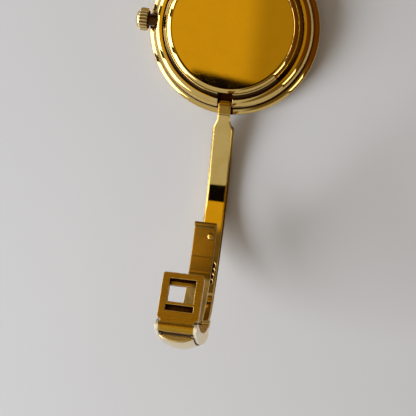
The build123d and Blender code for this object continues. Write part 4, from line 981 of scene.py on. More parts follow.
GILT_CASE = GiltFinish(
    "gold_plate_case", GOLD, GOLD_SHADE, 0.02,
    waviness=0.05, seam=(0.045, 0.011, 0.002), seam_reach=0.0009, seam_open=(0.5, 0.92), marks=(CASE_GROOVE_SHADE,),
)
GILT_ARM = GiltFinish(
    "gold_plate_arm", GOLD, GOLD_SHADE, 0.015,
    wear=Wear.KEPT, waviness=0.08, edge=0.00042, marks=(KNUCKLE, KNUCKLE_CREASE, PAINTED_HIGHLIGHT_END),
)
GILT_LINER = GiltFinish(
    "gold_plate_liner", GOLD, GOLD_SHADE, 0.015,
    wear=Wear.KEPT, waviness=0.08, edge=0.0004, marks=(KNUCKLE, KNUCKLE_CREASE, PAINTED_HIGHLIGHT_END, NotchShade()),
)
# The carriage is a paler copy of the gold plate: painted highlight.
GILT_CARRIAGE = GiltFinish(
    "gold_plate_carriage", (0.92, 0.72, 0.36), (0.88, 0.66, 0.30), 0.26, marks=(PAINTED_HIGHLIGHT_LIPS,)
)
GILT_CROWN = GiltFinish(
    "gold_plate_crown", (0.84, 0.67, 0.37), (0.74, 0.56, 0.27), 0.06, waviness=0.15, seam_open=(0.5, 0.95)
)
# The hook is a paler copy of the gold plate: painted highlight.
GILT_HOOK = GiltFinish("gold_plate_hook", (0.85, 0.64, 0.30), (0.80, 0.58, 0.24), 0.14, waviness=0.15)
# The crown tube is gold plate coloured near-black: painted shade.
GILT_TUBE = GiltFinish("gold_plate_tube", (0.07, 0.035, 0.012), (0.05, 0.025, 0.01), 0.25)
GILT_LID = GiltFinish(
    "gold_plate_lid", GOLD, (0.775, 0.53, 0.165), 0.02, wear=Wear.KEPT, waviness=0.015, marks=(LID_GROOVE_SHADE,)
)
GILT_SMALL = GiltFinish("gold_plate_small_work", (0.84, 0.52, 0.14), (0.74, 0.43, 0.10), 0.12, wear=Wear.KEPT)
# The leaf and the frame are gold plate darkened to brown: painted shade.
SATIN = SatinFinish("gold_plate_satin", (0.33, 0.175, 0.018), (0.28, 0.145, 0.014), 0.24, marks=(LEAF_ROOT,))
SATIN_FRAME = SatinFinish(
    "gold_plate_satin_frame", (0.50, 0.27, 0.022), (0.44, 0.23, 0.016), 0.22, seam_reach=0.0026
)
STEEL = BrushedMetal("steel_bar", (0.60, 0.58, 0.55), (0.50, 0.48, 0.46), 0.2)
BRASS = BrushedMetal("brass_plate", (0.78, 0.60, 0.28), (0.70, 0.52, 0.22), 0.24, turn=35.0)
WHEEL = TurnedMetal("brass_wheel", (0.82, 0.62, 0.28), (0.72, 0.53, 0.22), 0.2)
CELL = TurnedMetal("cell_can", (0.66, 0.66, 0.65), (0.58, 0.58, 0.57), 0.22)
RUBBER = MouldedFinish("rubber_seal", (0.02, 0.02, 0.021), (0.035, 0.034, 0.034), 0.5, scale=9.0)
RING = MouldedFinish("holder_plastic", (0.72, 0.69, 0.60), (0.66, 0.62, 0.53), 0.4, scale=7.0)
RESIN = MouldedFinish("chip_resin", (0.012, 0.012, 0.014), (0.02, 0.02, 0.022), 0.42, scale=12.0)
IRON = BrushedMetal("soft_iron", (0.42, 0.41, 0.40), (0.34, 0.33, 0.32), 0.3)
BOARD = LaminateFinish("board_laminate", (0.02, 0.13, 0.06), (0.015, 0.10, 0.045), 0.3)
COPPER = CoilFinish("coil_wire", (0.85, 0.36, 0.16), (0.45, 0.16, 0.07), 0.22)
GLASS = GlassFinish("mineral_glass", (1.0, 1.0, 1.0), (0.97, 0.985, 0.98), 0.0)
ENAMEL = EnamelFinish("dial_lacquer", (0.80, 0.74, 0.58), (0.72, 0.65, 0.48), 0.25)


class Dress(Enum):
    """Which finish the CAD nodes take: each option is a finish and the nodes that wear it."""

    CASE = (GILT_CASE, ("case_middle", "bezel_ring"))
    ARM = (GILT_ARM, ("lower_arm_shell", "upper_arm_shell"))
    LINER = (GILT_LINER, ("lower_arm_liner", "upper_arm_liner"))
    CARRIAGE = (GILT_CARRIAGE, ("clasp_carriage",))
    CROWN = (GILT_CROWN, ("crown",))
    HOOK = (GILT_HOOK, ("hook_lever", "hook_end_piece"))
    TUBE = (GILT_TUBE, ("crown_tube",))
    LEAF = (SATIN, ("lock_leaf",))
    FRAME = (SATIN_FRAME, ("catch_frame",))
    LID = (GILT_LID, ("case_back",))
    PINS = (GILT_SMALL, ("detent_rivet", "frame_pin", "hook_pin", "leaf_pin"))
    DIAL_WORK = (GILT_SMALL, ("hour_hand", "minute_hand", "hour_markers"))
    BARS = (STEEL, ("hinge_bar_lower", "hinge_bar_upper", "stem", "lever_post", "bridge_screws"))
    KEYLESS_WORK = (STEEL, ("clutch_pinion", "setting_lever", "yoke"))
    STEEL_SHEET = (STEEL, ("battery_strap", "quartz_can"))
    PLATES = (BRASS, ("main_plate", "train_bridge"))
    DIAL_WHEELS = (WHEEL, ("cannon_pinion", "hour_wheel", "minute_wheel", "setting_wheel"))
    TRAIN_WHEELS = (WHEEL, ("centre_wheel", "third_wheel", "intermediate_wheel", "rotor"))
    BATTERY = (CELL, ("battery",))
    SEALS = (RUBBER, ("back_gasket", "crystal_gasket", "crown_seal"))
    HOLDER = (RING, ("holder_ring",))
    CHIP = (RESIN, ("control_chip",))
    IRON_WORK = (IRON, ("stator", "coil_core"))
    CIRCUIT = (BOARD, ("circuit_board",))
    WINDING = (COPPER, ("coil_winding",))
    CRYSTAL = (GLASS, ("crystal",))
    DIAL = (ENAMEL, ("dial",))


class Wardrobe:
    """Makes each finish once and puts it on the pieces."""

    def __init__(self) -> None:
        """Builds the shared effects."""
        self.effects = Effects()
        self.shelf: dict[str, bpy.types.Material] = {}

    def put_on(self, piece: bpy.types.Object, finish: Finish) -> None:
        """Gives a piece one finish all over, built the first time that it is asked for.

        Args:
            piece: the piece.
            finish: its finish.
        """
        if finish.name not in self.shelf:
            self.shelf[finish.name] = finish.made(self.effects)
        piece.data.materials.clear()
        piece.data.materials.append(self.shelf[finish.name])

    def fit(self, piece: bpy.types.Object, body: str, finish: Finish, node: str) -> None:
        """Dresses a new gold-plated piece and fits it to the frame.

        Args:
            piece: the new piece.
            body: the body that it rides on.
            finish: its finish.
            node: the CAD node that it stands for.
        """
        self.put_on(piece, finish)
        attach(piece, body)
        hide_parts(node)
        LOG.info("built %s on %s in %s, %d faces", piece.name, body, finish.name, len(piece.data.polygons))

    def dress_nodes(self) -> None:
        """Puts the finishes on the CAD nodes."""
        left = set(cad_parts)
        for finish, names in (dress.value for dress in Dress):
            for name in names:
                self.put_on(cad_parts[name], finish)
                LOG.info("dressed node %s in %s", name, finish.name)
            left -= set(names)
        if left:
            raise ValueError(f"nodes without a finish: {sorted(left)}")


class Loft:
    """Turns whole arrays of points into closed meshes. Every shape is a grid of rings joined by quads."""

    @staticmethod
    def rounded(corners: list[Triple], steps: int = 7) -> np.ndarray:
        """Rounds the corners of a closed outline.

        A corner P has unit arms a and b to its neighbours and half angle h between them. Its arc leaves the
        arms at r / tan(h) and turns about C, which lies r / sin(h) from P between them. The points on it are
        C + (sin((1 - t) w) A + sin(t w) B) / sin(w), with A and B from C to the arc's ends and w = pi - 2 h.

        Args:
            corners: each corner's place and its radius r, 0 for a sharp one.
            steps: how many points each arc has.

        Returns:
            The outline's points, in order.
        """
        table = np.array(corners, float)
        corner, radius = table[:, :2], table[:, 2]
        back, ahead = np.roll(corner, 1, 0) - corner, np.roll(corner, -1, 0) - corner
        a = back / np.linalg.norm(back, axis=1, keepdims=True)
        b = ahead / np.linalg.norm(ahead, axis=1, keepdims=True)
        half = np.arccos(np.clip((a * b).sum(1), -1.0, 1.0)) / 2
        middle = (a + b) / np.maximum(np.linalg.norm(a + b, axis=1, keepdims=True), 1e-9)
        centre = corner + middle * (radius / np.sin(half))[:, None]
        leave = (radius / np.tan(half))[:, None]
        start, end = corner + a * leave - centre, corner + b * leave - centre
        sweep = np.maximum(math.pi - 2 * half, 1e-4)[:, None, None]
        t = np.linspace(0.0, 1.0, steps)[None, :, None]
        arc = (np.sin((1 - t) * sweep) * start[:, None] + np.sin(t * sweep) * end[:, None]) / np.sin(sweep)
        return (centre[:, None] + arc).reshape(-1, 2)

    @staticmethod
    def quads(rows: int, columns: int, closed: bool = False) -> np.ndarray:
        """Faces of a grid of rings: point (i, j) joins (i, j + 1), (i + 1, j + 1) and (i + 1, j).

        Args:
            rows: how many rings there are.
            columns: how many points each ring has.
            closed: whether the last ring joins the first.

        Returns:
            Four point numbers for each face.
        """
        i, j = np.meshgrid(np.arange(rows if closed else rows - 1), np.arange(columns), indexing="ij")
        k, n = (j + 1) % columns, (i + 1) % rows
        corners = (i * columns + j, i * columns + k, n * columns + k, n * columns + j)
        return np.stack(corners, -1).reshape(-1, 4)

    @classmethod
    def turned(cls, profile: np.ndarray, steps: int, cut: np.ndarray | None = None) -> Patch:
        """Turns a profile of (r, h) round an axis: x = (r - c) cos(a), y = (r - c) sin(a), z = h.

        Args:
            profile: the points; with the first and last on the axis the shape closes there, else on itself.
            steps: how many points lie round the axis.
            cut: c, how much is cut off the radius at each profile point and angle.

        Returns:
            The points and the faces.
        """
        angle = np.linspace(0.0, math.tau, steps, endpoint=False)
        r = profile[:, :1] - (0.0 if cut is None else cut)
        points = np.stack(np.broadcast_arrays(r * np.cos(angle), r * np.sin(angle), profile[:, 1:]), -1)
        return points.reshape(-1, 3), cls.quads(len(profile), steps, profile[0, 0] > 0)

    @classmethod
    def ribbon(cls, outer: np.ndarray, inner: np.ndarray, half: float, edge: float, steps: int = 6) -> Patch:
        """A strip between two side rails, straight across, with round long edges.

        The rails make one loop L with inward normals n. At each side x = w - e + e sin(t) and the loop is
        L + n e (1 - cos(t)), for t from 0 to 90 degrees, and quads from rail to rail close the two sides.

        Args:
            outer: one rail's (reach, height) points.
            inner: the other rail's, as many.
            half: w, half the strip's width.
            edge: e, the radius of its long edges.
            steps: how many rings each edge has.

        Returns:
            The points (across, reach, height) and the faces.
        """
        loop = np.concatenate((outer, inner[::-1]))
        count = len(outer)
        along = np.roll(loop, -1, 0) - np.roll(loop, 1, 0)
        normal = np.stack((-along[:, 1], along[:, 0]), 1) / np.linalg.norm(along, axis=1, keepdims=True)
        x, y = loop.T
        normal *= np.sign(np.sum(x * np.roll(y, -1) - np.roll(x, -1) * y))
        t = np.linspace(0.0, math.pi / 2, steps)
        out, drawn = half - edge + edge * np.sin(t), edge * (1 - np.cos(t))
        across, inset = np.concatenate((-out[::-1], out)), np.concatenate((drawn[::-1], drawn))
        flat = loop[None] + normal[None] * inset[:, None, None]
        points = np.concatenate((np.broadcast_to(across[:, None, None], (*flat.shape[:2], 1)), flat), -1)
        k = np.arange(count - 1)
        side = np.stack((k, k + 1, 2 * count - 2 - k, 2 * count - 1 - k), 1)
        last = (len(across) - 1) * 2 * count
        faces = np.concatenate((cls.quads(len(across), 2 * count), side, side + last))
        return points.reshape(-1, 3), faces

    @staticmethod
    def spaced(rail: np.ndarray, count: int) -> np.ndarray:
        """Puts points at even distances along a line, by its running length.

        Args:
            rail: the line's points.
            count: how many points to put.

        Returns:
            The new points.
        """
        run = np.concatenate(([0.0], np.cumsum(np.linalg.norm(np.diff(rail, axis=0), axis=1))))
        even = np.linspace(0.0, run[-1], count)
        return np.stack((np.interp(even, run, rail[:, 0]), np.interp(even, run, rail[:, 1])), 1)

    @staticmethod
    def piece(name: str, patches: list[Patch], sharp: float = 38.0) -> bpy.types.Object:
        """Makes one object of patches in millimetres, merged and with its faces outwards.

        Args:
            name: the object's name.
            patches: points and faces of each closed shell.
            sharp: the angle in degrees from which an edge stays sharp.

        Returns:
            The object.
        """
        starts = np.cumsum([0] + [len(points) for points, _ in patches])[:-1]
        points = np.concatenate([p for p, _ in patches]) * MM
        faces = np.concatenate([f + s for (_, f), s in zip(patches, starts)])
        data = bpy.data.meshes.new(name)
        data.from_pydata(points.tolist(), [], faces.tolist())
        work = bmesh.new()
        work.from_mesh(data)
        bmesh.ops.remove_doubles(work, verts=work.verts, dist=2e-7)
        bmesh.ops.recalc_face_normals(work, faces=work.faces)
        work.to_mesh(data)
        work.free()
        data.polygons.foreach_set("use_smooth", np.ones(len(data.polygons), bool))
        data.set_sharp_from_angle(angle=math.radians(sharp))
        made = bpy.data.objects.new(name, data)
        bpy.context.scene.collection.objects.link(made)
        return made


@dataclass
class CaseShell:
    """The snap-on back and the bezel, both turned: each is one profile carried round the case's axis."""

    lid_radius: float = 9.95
    lid_seat: float = 5.2
    lid_face: float = 5.6
    lid_top: float = 5.68
    lid_inside: float = 5.1
    lid_flat: float = 9.32
    lid_lead: float = 0.07
    lid_step: float = 0.05
    brow_width: float = 0.3
    brow_drop: float = 0.12
    edge_height: float = 0.12
    skirt_radius: float = 9.3
    skirt_wall: float = 0.35
    skirt_end: float = 4.6
    bezel_radius: float = 13.05
    bezel_front: float = 0.25
    bezel_back: float = 2.7
    bezel_inner: float = 11.05
    waist_depth: float = 0.42
    shoulder_width: float = 0.42
    shoulder_depth: float = 0.15
    slope_width: float = 0.86
    lip_radius: float = 10.65
    lip_back: float = 0.6
    steps: int = 320

    def build_lid(self) -> bpy.types.Object:
        """The lid: a flat disc, a fine step up, and a broad rim that falls outwards and bulges a little.

        Returns:
            The lid.
        """
        rim, flat, skirt = self.lid_radius, self.lid_flat, self.skirt_radius
        profile = Loft.rounded([
            (0.0, self.lid_face, 0.0),
            (flat - self.lid_lead, self.lid_face, 0.0),
            (flat, self.lid_face, 0.01),
            (flat + self.lid_step, self.lid_top, 0.03),
            (rim - self.brow_width, self.lid_top - self.brow_drop, 0.8),
            (rim, self.lid_seat + self.edge_height, 0.06),
            (rim, self.lid_seat, 0.02),
            (skirt, self.lid_seat, 0.02),
            (skirt, self.skirt_end, 0.05),
            (skirt - self.skirt_wall, self.skirt_end, 0.05),
            (skirt - self.skirt_wall, self.lid_inside, 0.05),
            (0.0, self.lid_inside, 0.0),
        ])
        return Loft.piece("back_lid", [Loft.turned(profile, self.steps)])

    def build_bezel(self) -> bpy.types.Object:
        """The bezel: a front roll of large radius, a short waist and a broad bulged slope towards the back.

        Returns:
            The bezel.
        """
        rim, back = self.bezel_radius, self.bezel_back
        profile = Loft.rounded([
            (self.bezel_inner, back, 0.04),
            (self.bezel_inner, self.lip_back, 0.02),
            (self.lip_radius, self.lip_back, 0.04),
            (self.lip_radius, self.bezel_front, 0.08),
            (rim, self.bezel_front, 1.35),
            (rim, back - self.waist_depth, 0.3),
            (rim - self.shoulder_width, back - self.shoulder_depth, 1.0),
            (rim - self.slope_width, back, 0.12),
        ], 9)
        return Loft.piece("bezel_roll", [Loft.turned(profile, self.steps)])

    def dress(self, wardrobe: Wardrobe) -> None:
        """Builds both, gives them their finish and fits them to the case."""
        wardrobe.fit(self.build_lid(), "case", GILT_LID, "case_back")
        wardrobe.fit(self.build_bezel(), "case", GILT_CASE, "bezel_ring")


@dataclass
class WindingCrown:
    """The crown: a fluted barrel with a domed cap, hollow over the tube."""

    start: float = 13.1
    length: float = 1.25
    radius: float = 1.75
    recess_radius: float = 1.3
    recess_depth: float = 1.0
    cap_radius: float = 1.45
    cap_height: float = 0.7
    level: float = 3.725
    flutes: int = 20
    flute_depth: float = 0.2
    flute_power: float = 1.6
    flute_lead: float = 0.08
    flute_run: float = 0.2
    steps: int = 400

    def build(self) -> bpy.types.Object:
        """The crown as one turned profile, with c = d s (0.5 + 0.5 cos(n a))^p cut off its radius.

        d is the flutes' depth, n their number, p their power, and s is 1 on the barrel and falls to 0 at its
        two ends. The cap is a quarter ellipse, r = R cos(t) and h = H sin(t).

        Returns:
            The crown.
        """
        face = self.start + self.length
        barrel = Loft.rounded([
            (0.0, self.start + self.recess_depth, 0.0),
            (self.recess_radius, self.start + self.recess_depth, 0.05),
            (self.recess_radius, self.start, 0.05),
            (self.radius, self.start, 0.12),
            (self.radius, self.start + self.length / 2, 0.0),
            (self.radius, face, 0.14),
            (self.cap_radius, face, 0.0),
        ], 8)
        t = np.linspace(0.0, math.pi / 2, 24)
        dome = np.stack((self.cap_radius * np.cos(t), face + self.cap_height * np.sin(t)), 1)
        profile = np.concatenate((barrel, dome))
        share = np.clip((profile[:, 0] - self.cap_radius - self.flute_lead) / self.flute_run, 0.0, 1.0)
        share *= profile[:, 1] < face + HAIR
        angle = np.linspace(0.0, math.tau, self.steps, endpoint=False)
        wave = (0.5 + 0.5 * np.cos(self.flutes * angle)) ** self.flute_power
        points, faces = Loft.turned(profile, self.steps, self.flute_depth * share[:, None] * wave[None])
        placed = np.stack((-points[:, 2], points[:, 0], self.level + points[:, 1]), 1)
        return Loft.piece("winding_crown", [(placed, faces)])

    def dress(self, wardrobe: Wardrobe) -> None:
        """Builds the crown and fits it to its body."""
        wardrobe.fit(self.build(), "crown", GILT_CROWN, "crown")


@dataclass
class LockLeaf:
    """The lock leaf with its rolled lip, its barrel and the riveted detent, drawn shut and then lifted."""

    curl_centre: Pair = (25.3, 21.45)
    outer_radius: float = 19.25
    thickness: float = 0.5
    start_angle: float = 75.0
    length: float = 15.7
    half_width: float = 1.65
    edge: float = 0.12
    lift: float = 30.0
    pivot: Pair = (43.4594, 16.5842)
    barrel: float = 0.45
    barrel_sweep: float = 173.0
    lip: float = 0.36
    lip_rise: float = 0.62
    lip_start: float = 0.5
    lip_reach: float = 0.86
    pressed: tuple[float, ...] = (15.0, 13.9, 10.9, 8.3)
    pressed_depth: float = 0.035
    pressed_width: float = 0.11
    rivet_back: float = 1.75
    rivet_side: float = 0.9
    rivet_head: Pair = (0.48, 0.23)
    rivet_shank: Pair = (0.3, 0.02)
    rivet_peg: Pair = (0.36, 0.29)
    peg_straight: float = 0.12
    head_power: float = 0.7
    nose_power: float = 0.6
    rail_points: int = 460

    def swung(self, points: np.ndarray) -> np.ndarray:
        """Lifts points about the pivot and puts them in the shared frame, where y = -reach.

        y' = y0 + (y - y0) cos(a) - (z - z0) sin(a) and z' = z0 + (y - y0) sin(a) + (z - z0) cos(a).

        Args:
            points: the points (across, reach, height).

        Returns:
            The points (x, y, z).
        """
        turn = math.radians(self.lift)
        y, z = -points[:, 1] + self.pivot[0], points[:, 2] - self.pivot[1]
        turned_y = -self.pivot[0] + y * math.cos(turn) - z * math.sin(turn)
        turned_z = self.pivot[1] + y * math.sin(turn) + z * math.cos(turn)
        return np.stack((points[:, 0], turned_y, turned_z), 1)

    def bent(self, rail: np.ndarray) -> np.ndarray:
        """Bends a rail onto the curl: the angle is a0 - run / R and the radius is R - rise.

        Args:
            rail: the points (run, rise).

        Returns:
            The points (reach, height).
        """
        angle = math.radians(self.start_angle) - rail[:, 0] / self.outer_radius
        radius = self.outer_radius - rail[:, 1]
        reach, height = self.curl_centre
        return np.stack((reach + radius * np.sin(angle), height - radius * np.cos(angle)), 1)

    def build_plate(self) -> bpy.types.Object:
        """The leaf, between two rails that are drawn straight and then bent onto the curl.

        The outer rail is a straight run between two quarter rolls, and the inner one the barrel, the pressed
        lines and the lip. A pressed line at run c lowers the inner rail by d exp(-((s - c) / w)^2).

        Returns:
            The leaf.
        """
        quarter = np.linspace(0.0, math.pi / 2, 12)
        roll = quarter[1:]
        run = np.linspace(0.0, self.length - self.lip_start, 300)
        outer = np.concatenate((
            np.stack((-self.barrel * np.cos(quarter), self.barrel * (1 - np.sin(quarter))), 1),
            np.stack((run[1:], 0 * run[1:]), 1),
            np.stack((run[-1] + self.lip_reach * np.sin(roll), self.lip_rise * (1 - np.cos(roll))), 1),
        ))
        low = math.asin((self.lip_rise - self.thickness) / self.lip)
        over, curl = np.linspace(0.0, math.radians(self.barrel_sweep), 24), np.linspace(-low, math.pi, 24)
        run = np.linspace(self.barrel, self.length - self.lip * math.cos(low), 400)[1:-1]
        dip = np.exp(-(((run[:, None] - np.array(self.pressed)) / self.pressed_width) ** 2)).sum(1)
        inner = np.concatenate((
            np.stack((-self.barrel * np.cos(over), self.barrel * (1 + np.sin(over))), 1),
            np.stack((run, self.thickness - self.pressed_depth * dip), 1),
            np.stack((self.length - self.lip * np.cos(curl), self.lip_rise + self.lip * np.sin(curl)), 1),
        ))
        rails = [self.bent(Loft.spaced(rail, self.rail_points)) for rail in (outer, inner)]
        points, faces = Loft.ribbon(*rails, self.half_width, self.edge)
        return Loft.piece("lock_leaf_plate", [(self.swung(points), faces)])

    def build_rivet(self) -> bpy.types.Object:
        """The detent rivet: a domed head, a shank and a bullet-nosed peg.

        The head is r = R cos(t)^p and h = -H sin(t), and the nose r = P cos(u)^q and h = h0 + N sin(u).

        Returns:
            The rivet.
        """
        (head_radius, crown), (shank, start) = self.rivet_head, self.rivet_shank
        (peg_radius, nose), shoulder = self.rivet_peg, self.thickness + self.peg_straight
        t = np.linspace(math.pi / 2, 0.0, 14)
        head = np.stack((head_radius * np.cos(t) ** self.head_power, -crown * np.sin(t)), 1)
        u = np.linspace(0.0, math.pi / 2, 12)
        peg = np.stack((peg_radius * np.cos(u) ** self.nose_power, shoulder + nose * np.sin(u)), 1)
        stem = np.array([(shank, start), (shank, self.thickness), (peg_radius, self.thickness + HAIR)])
        points, faces = Loft.turned(np.concatenate((head, stem, peg)), 48)
        angle = math.radians(self.start_angle) - (self.length - self.rivet_back) / self.outer_radius
        level = self.outer_radius - self.thickness + points[:, 2]
        reach = self.curl_centre[0] + level * math.sin(angle) + points[:, 1] * math.cos(angle)
        height = self.curl_centre[1] - level * math.cos(angle) + points[:, 1] * math.sin(angle)
        placed = self.swung(np.stack((self.rivet_side + points[:, 0], reach, height), 1))
        return Loft.piece("detent_stud", [(placed, faces)])

    def dress(self, wardrobe: Wardrobe) -> None:
        """Builds the leaf and its rivet and fits them to their body."""
        wardrobe.fit(self.build_plate(), "lock_leaf", SATIN, "lock_leaf")
        wardrobe.fit(self.build_rivet(), "lock_leaf", GILT_SMALL, "detent_rivet")


@dataclass
class Hand:
    """One hand: a tapering blade with a ridge along its front, on a domed boss."""

    name: str
    node: str
    body: str
    length: float
    level: float
    pipe: float
    tail: float = 1.6
    width: float = 0.55
    tip: float = 0.25
    tip_slope: float = 30.0
    bevel: float = 0.06
    thickness: float = 0.1
    boss: float = 0.8

    def build(self) -> bpy.types.Object:
        """The blade's half width is w (1 - s / 2), less at its two tips, and its edges lie behind its ridge.

        Returns:
            The hand.
        """
        s = np.linspace(0.0, 1.0, 40)
        y = -self.tail + s * (self.tail + self.length)
        w = self.width / 2 * (1 - s / 2) * np.minimum(1.0, self.tip + np.minimum(s, 1 - s) * self.tip_slope)
        across = np.array([-1.0, 0.0, 1.0, 1.0, -1.0])
        depth = np.array([self.bevel, 0.0, self.bevel, self.thickness, self.thickness]) + self.level
        ring = np.stack(np.broadcast_arrays(w[:, None] * across, y[:, None], depth[None]), -1)
        centre = ring.mean(1, keepdims=True).repeat(5, 1)
        ring = np.concatenate((centre[:1], ring, centre[-1:]))
        blade = (ring.reshape(-1, 3), Loft.quads(len(ring), 5))
        bore, top, bottom = self.pipe + HAIR, self.level, self.level + self.thickness
        profile = Loft.rounded([
            (bore, top, 0.02), (self.boss, top, 0.08), (self.boss, bottom, 0.01), (bore, bottom, 0.01),
        ])
        return Loft.piece(self.name, [blade, Loft.turned(profile, 96)], 25.0)

    def dress(self, wardrobe: Wardrobe) -> None:
        """Builds the hand and fits it to its wheel."""
        wardrobe.fit(self.build(), self.body, GILT_SMALL, self.node)


@dataclass(frozen=True)
class Card:
    """One flat panel of the stage. A hung one glows evenly, and only polished surfaces see it."""

    name: str
    centre: Triple
    size: Pair
    facing: Triple
    colour: Triple = (1.0, 1.0, 1.0)
    power: float = 1.0

    def panel(self) -> bpy.types.Object:
        """The panel as a mesh: its middle plus half of each side along the level axis and the axis across it.

        Returns:
            The object, marked as part of the stage.
        """
        front = Vector(self.facing).normalized()
        level = Vector((0.0, 0.0, 1.0)).cross(front)
        level = level.normalized() if level.length > 0.1 else Vector((1.0, 0.0, 0.0))
        half = np.array([[-1, -1], [1, -1], [1, 1], [-1, 1]], float) * self.size / 2
        points = half @ np.array([level, front.cross(level)]) + np.array(self.centre)
        mesh = bpy.data.meshes.new(self.name)
        mesh.from_pydata(points.tolist(), [], [(0, 1, 2, 3)])
        made = bpy.data.objects.new(self.name, mesh)
        bpy.context.scene.collection.objects.link(made)
        return made

    def hang(self) -> tuple[Graph, Node]:
        """Hangs the panel, so that it lights nothing and blocks nothing.

        Returns:
            The graph of its material and its Emission node.
        """
        made = self.panel()
        material = bpy.data.materials.new(self.name)
        material.use_nodes = True
        graph = Graph(material.node_tree)
        graph.tree.nodes.clear()
        glow = graph.add("ShaderNodeEmission")
        graph.join((*self.colour, 1.0), glow.inputs["Color"])
        graph.join(self.power, glow.inputs["Strength"])
        graph.join(glow.outputs[0], graph.add("ShaderNodeOutputMaterial").inputs["Surface"])
        made.data.materials.append(material)
        made.visible_camera = False
        made.visible_diffuse = False
        made.visible_shadow = False
        made.visible_transmission = False
        return graph, glow


@dataclass
class Ceiling:
    """The ceiling that the polished back mirrors: fields of colour with soft borders, and a dark patch."""

    height: float = 0.50
    size: float = 1.3
    soft: float = 0.007
    crisp: float = 0.00175
    amber: Triple = (0.69, 0.44, 0.02)
    amber_dim: Triple = (0.42, 0.265, 0.012)
    amber_edge: float = -0.049
    amber_end: float = 0.24
    amber_fade: float = 0.06
    brown: Triple = (0.15, 0.105, 0.03)
    russet: Triple = (0.14, 0.045, 0.008)
    russet_edge: float = 0.22
    russet_fade: float = 0.03
    grey: Triple = (0.52, 0.53, 0.52)
    grey_edge: float = 0.045
    grey_fade: float = 0.045
    dark: Triple = (0.004, 0.003, 0.003)
    dark_low: Pair = (-0.078, -0.085)
    dark_high: Pair = (0.0, 0.0064)
    slant: float = 0.12

    def build(self) -> None:
        """Hangs the ceiling: warm behind, pale in front, brown far out, and dark where the camera is held.

        The borders run straight, but those of the front and of the dark patch slant: they follow y + slant x.
        """
        card = Card("ceiling_card", (0.0, 0.0, self.height), (self.size, self.size), (0.0, 0.0, -1.0))
        graph, glow = card.hang()
        x, y, _ = graph.axes(graph.add("ShaderNodeTexCoord").outputs["Object"])
        slanted = graph.maths("MULTIPLY_ADD", x, self.slant, y)
        warm = graph.stepped(x, self.amber_edge, self.soft, self.amber, self.amber_dim)
        back = graph.stepped(y, self.amber_end, self.amber_fade, warm, self.brown)
        back = graph.stepped(x, self.russet_edge, self.russet_fade, back, self.russet)
        front = graph.stepped(x, self.grey_edge, self.grey_fade, self.grey, self.brown)
        whole = graph.stepped(slanted, self.dark_low[1], self.crisp, front, back)
        inside = graph.maths(
            "MULTIPLY",
            graph.within(x, self.dark_low[0], self.dark_high[0], self.crisp),
            graph.within(slanted, self.dark_low[1], self.dark_high[1], self.crisp),
        )
        graph.join(graph.blend(inside, whole, self.dark), glow.inputs["Color"])


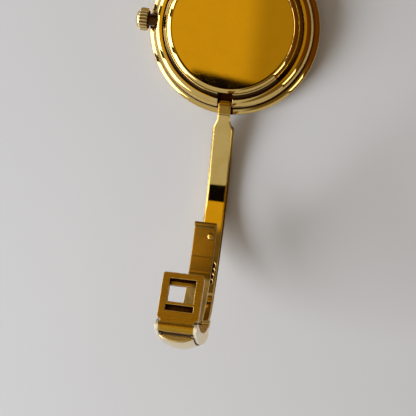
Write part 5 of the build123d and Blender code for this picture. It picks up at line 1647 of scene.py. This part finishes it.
@dataclass
class Studio:
    """The table, the soft light from the left, the cards round the object and the camera above."""

    table_side: float = 3.0
    table_gap: float = 0.00002
    table_colour: Triple = (0.60, 0.592, 0.60)
    table_mottle: float = 0.015
    table_cloud: float = 14.0
    table_roughness: float = 0.75
    table_shine: float = 0.2
    camera_place: Triple = (0.026097, -0.016738, 0.220)
    camera_turn: Triple = (-2.036, 7.379, 6.32)
    camera_focal: float = 1432.96
    frame_pixels: float = 416.0
    sensor: float = 36.0
    lamp_place: Triple = (-0.38, -0.25, 0.25)
    lamp_size: Pair = (0.36, 0.34)
    lamp_power: float = 4.1
    lamp_colour: Triple = (0.88, 0.94, 1.0)
    fill_colour: Triple = (1.0, 0.84, 0.66)
    fill_power: float = 0.29
    seen_colour: Triple = (1.0, 0.99, 0.98)
    seen_power: float = 0.72
    cards: tuple[Card, ...] = (
        Card("window_card", (-0.60, -0.12, 0.42), (1.0, 1.0), (0.60, 0.12, -0.42), (1.0, 1.0, 0.97), 5.0),
        Card("right_card", (0.65, 0.0, 0.25), (1.3, 0.5), (-1.0, 0.0, 0.0), (1.0, 0.45, 0.1), 0.10),
        Card("rear_card", (0.0, 0.65, 0.25), (1.3, 0.5), (0.0, -1.0, 0.0), (1.0, 0.68, 0.2), 0.12),
        Card("front_card", (0.0, -0.65, 0.25), (1.3, 0.5), (0.0, 1.0, 0.0), (1.0, 1.0, 0.98), 0.50),
        Card("far_window", (0.39, -0.28, 0.40), (0.14, 0.24), (-1.0, 0.75, -1.0), (1.0, 1.0, 0.92), 2.5),
        Card("window_bar_high", (-0.50, 0.10, 0.34), (0.06, 0.55), (1.0, 0.0, 0.0), (1.0, 0.8, 0.6), 0.03),
        Card("window_bar_low", (-0.50, -0.17, 0.34), (0.06, 0.55), (1.0, 0.0, 0.0), (1.0, 0.8, 0.6), 0.03),
    )

    def lay_table(self) -> None:
        """Lays the plain pale table, with a faint mottling like sealed paper."""
        side = (self.table_side, self.table_side)
        table = Card("table_top", (0.0, 0.0, -self.table_gap), side, (0.0, 0.0, 1.0)).panel()
        material = bpy.data.materials.new("pale_table")
        material.use_nodes = True
        graph = Graph(material.node_tree)
        shader = graph.tree.nodes["Principled BSDF"]
        place = graph.add("ShaderNodeTexCoord").outputs["Object"]
        cloud = graph.spread(graph.noise(place, self.table_cloud, 3.0), 0.3, 0.7)
        low = tuple(part * (1 - self.table_mottle) for part in self.table_colour)
        high = tuple(part * (1 + self.table_mottle) for part in self.table_colour)
        graph.join(graph.blend(cloud, low, high), shader.inputs["Base Color"])
        graph.join(self.table_roughness, shader.inputs["Roughness"])
        graph.join(self.table_shine, shader.inputs["Specular IOR Level"])
        table.data.materials.append(material)

    def hang_lamp(self) -> None:
        """Hangs one broad soft lamp at the left."""
        lamp = bpy.data.lights.new("window_lamp", "AREA")
        lamp.shape = "RECTANGLE"
        lamp.size, lamp.size_y = self.lamp_size
        lamp.energy = self.lamp_power
        lamp.color = self.lamp_colour
        holder = bpy.data.objects.new("window_lamp", lamp)
        place = Vector(self.lamp_place)
        holder.matrix_world = Matrix.Translation(place) @ place.to_track_quat("Z", "Y").to_matrix().to_4x4()
        holder.visible_glossy = False
        bpy.context.scene.collection.objects.link(holder)

    def fill_room(self) -> None:
        """Fills the room with even warm light. The camera, the metal and the glass see a pale one instead."""
        world = bpy.data.worlds.new("pale_room")
        world.use_nodes = True
        bpy.context.scene.world = world
        graph = Graph(world.node_tree)
        background = graph.tree.nodes["Background"]
        path = graph.add("ShaderNodeLightPath")
        seen = 0.0
        for ray in ("Is Camera Ray", "Is Glossy Ray", "Is Transmission Ray"):
            seen = graph.maths("MAXIMUM", seen, path.outputs[ray])
        power = graph.maths("MULTIPLY_ADD", seen, self.seen_power - self.fill_power, self.fill_power)
        graph.join(graph.blend(seen, self.fill_colour, self.seen_colour), background.inputs["Color"])
        graph.join(power, background.inputs["Strength"])

    def place_camera(self) -> None:
        """Puts the camera where the photograph was taken from, above and a little to the right."""
        camera = bpy.data.cameras.new("view_camera")
        camera.sensor_width = self.sensor
        camera.lens = self.camera_focal * self.sensor / self.frame_pixels
        camera.clip_start, camera.clip_end = 0.01, 10.0
        x, y, z = (Matrix.Rotation(math.radians(a), 4, axis) for a, axis in zip(self.camera_turn, "XYZ"))
        holder = bpy.data.objects.new("view_camera", camera)
        holder.matrix_world = Matrix.Translation(self.camera_place) @ z @ y @ x
        bpy.context.scene.collection.objects.link(holder)
        bpy.context.scene.camera = holder

    def build(self) -> None:
        """Sets the whole stage."""
        bpy.context.scene.view_settings.view_transform = "Standard"
        self.place_camera()
        self.lay_table()
        for card in self.cards:
            card.hang()
        Ceiling().build()
        self.hang_lamp()
        self.fill_room()
        LOG.info("set the stage with %d cards", len(self.cards))


def main() -> None:
    """Builds the stage and the pieces in order."""
    logging.basicConfig(level=logging.INFO, format="%(message)s")
    Studio().build()
    wardrobe = Wardrobe()
    wardrobe.dress_nodes()
    CaseShell().dress(wardrobe)
    WindingCrown().dress(wardrobe)
    LockLeaf().dress(wardrobe)
    Hand("minute_blade", "minute_hand", "minute_work", 7.6, 1.2, 0.34).dress(wardrobe)
    Hand("hour_blade", "hour_hand", "hour_work", 5.2, 1.5, 0.55).dress(wardrobe)


if __name__ == "__main__":
    main()
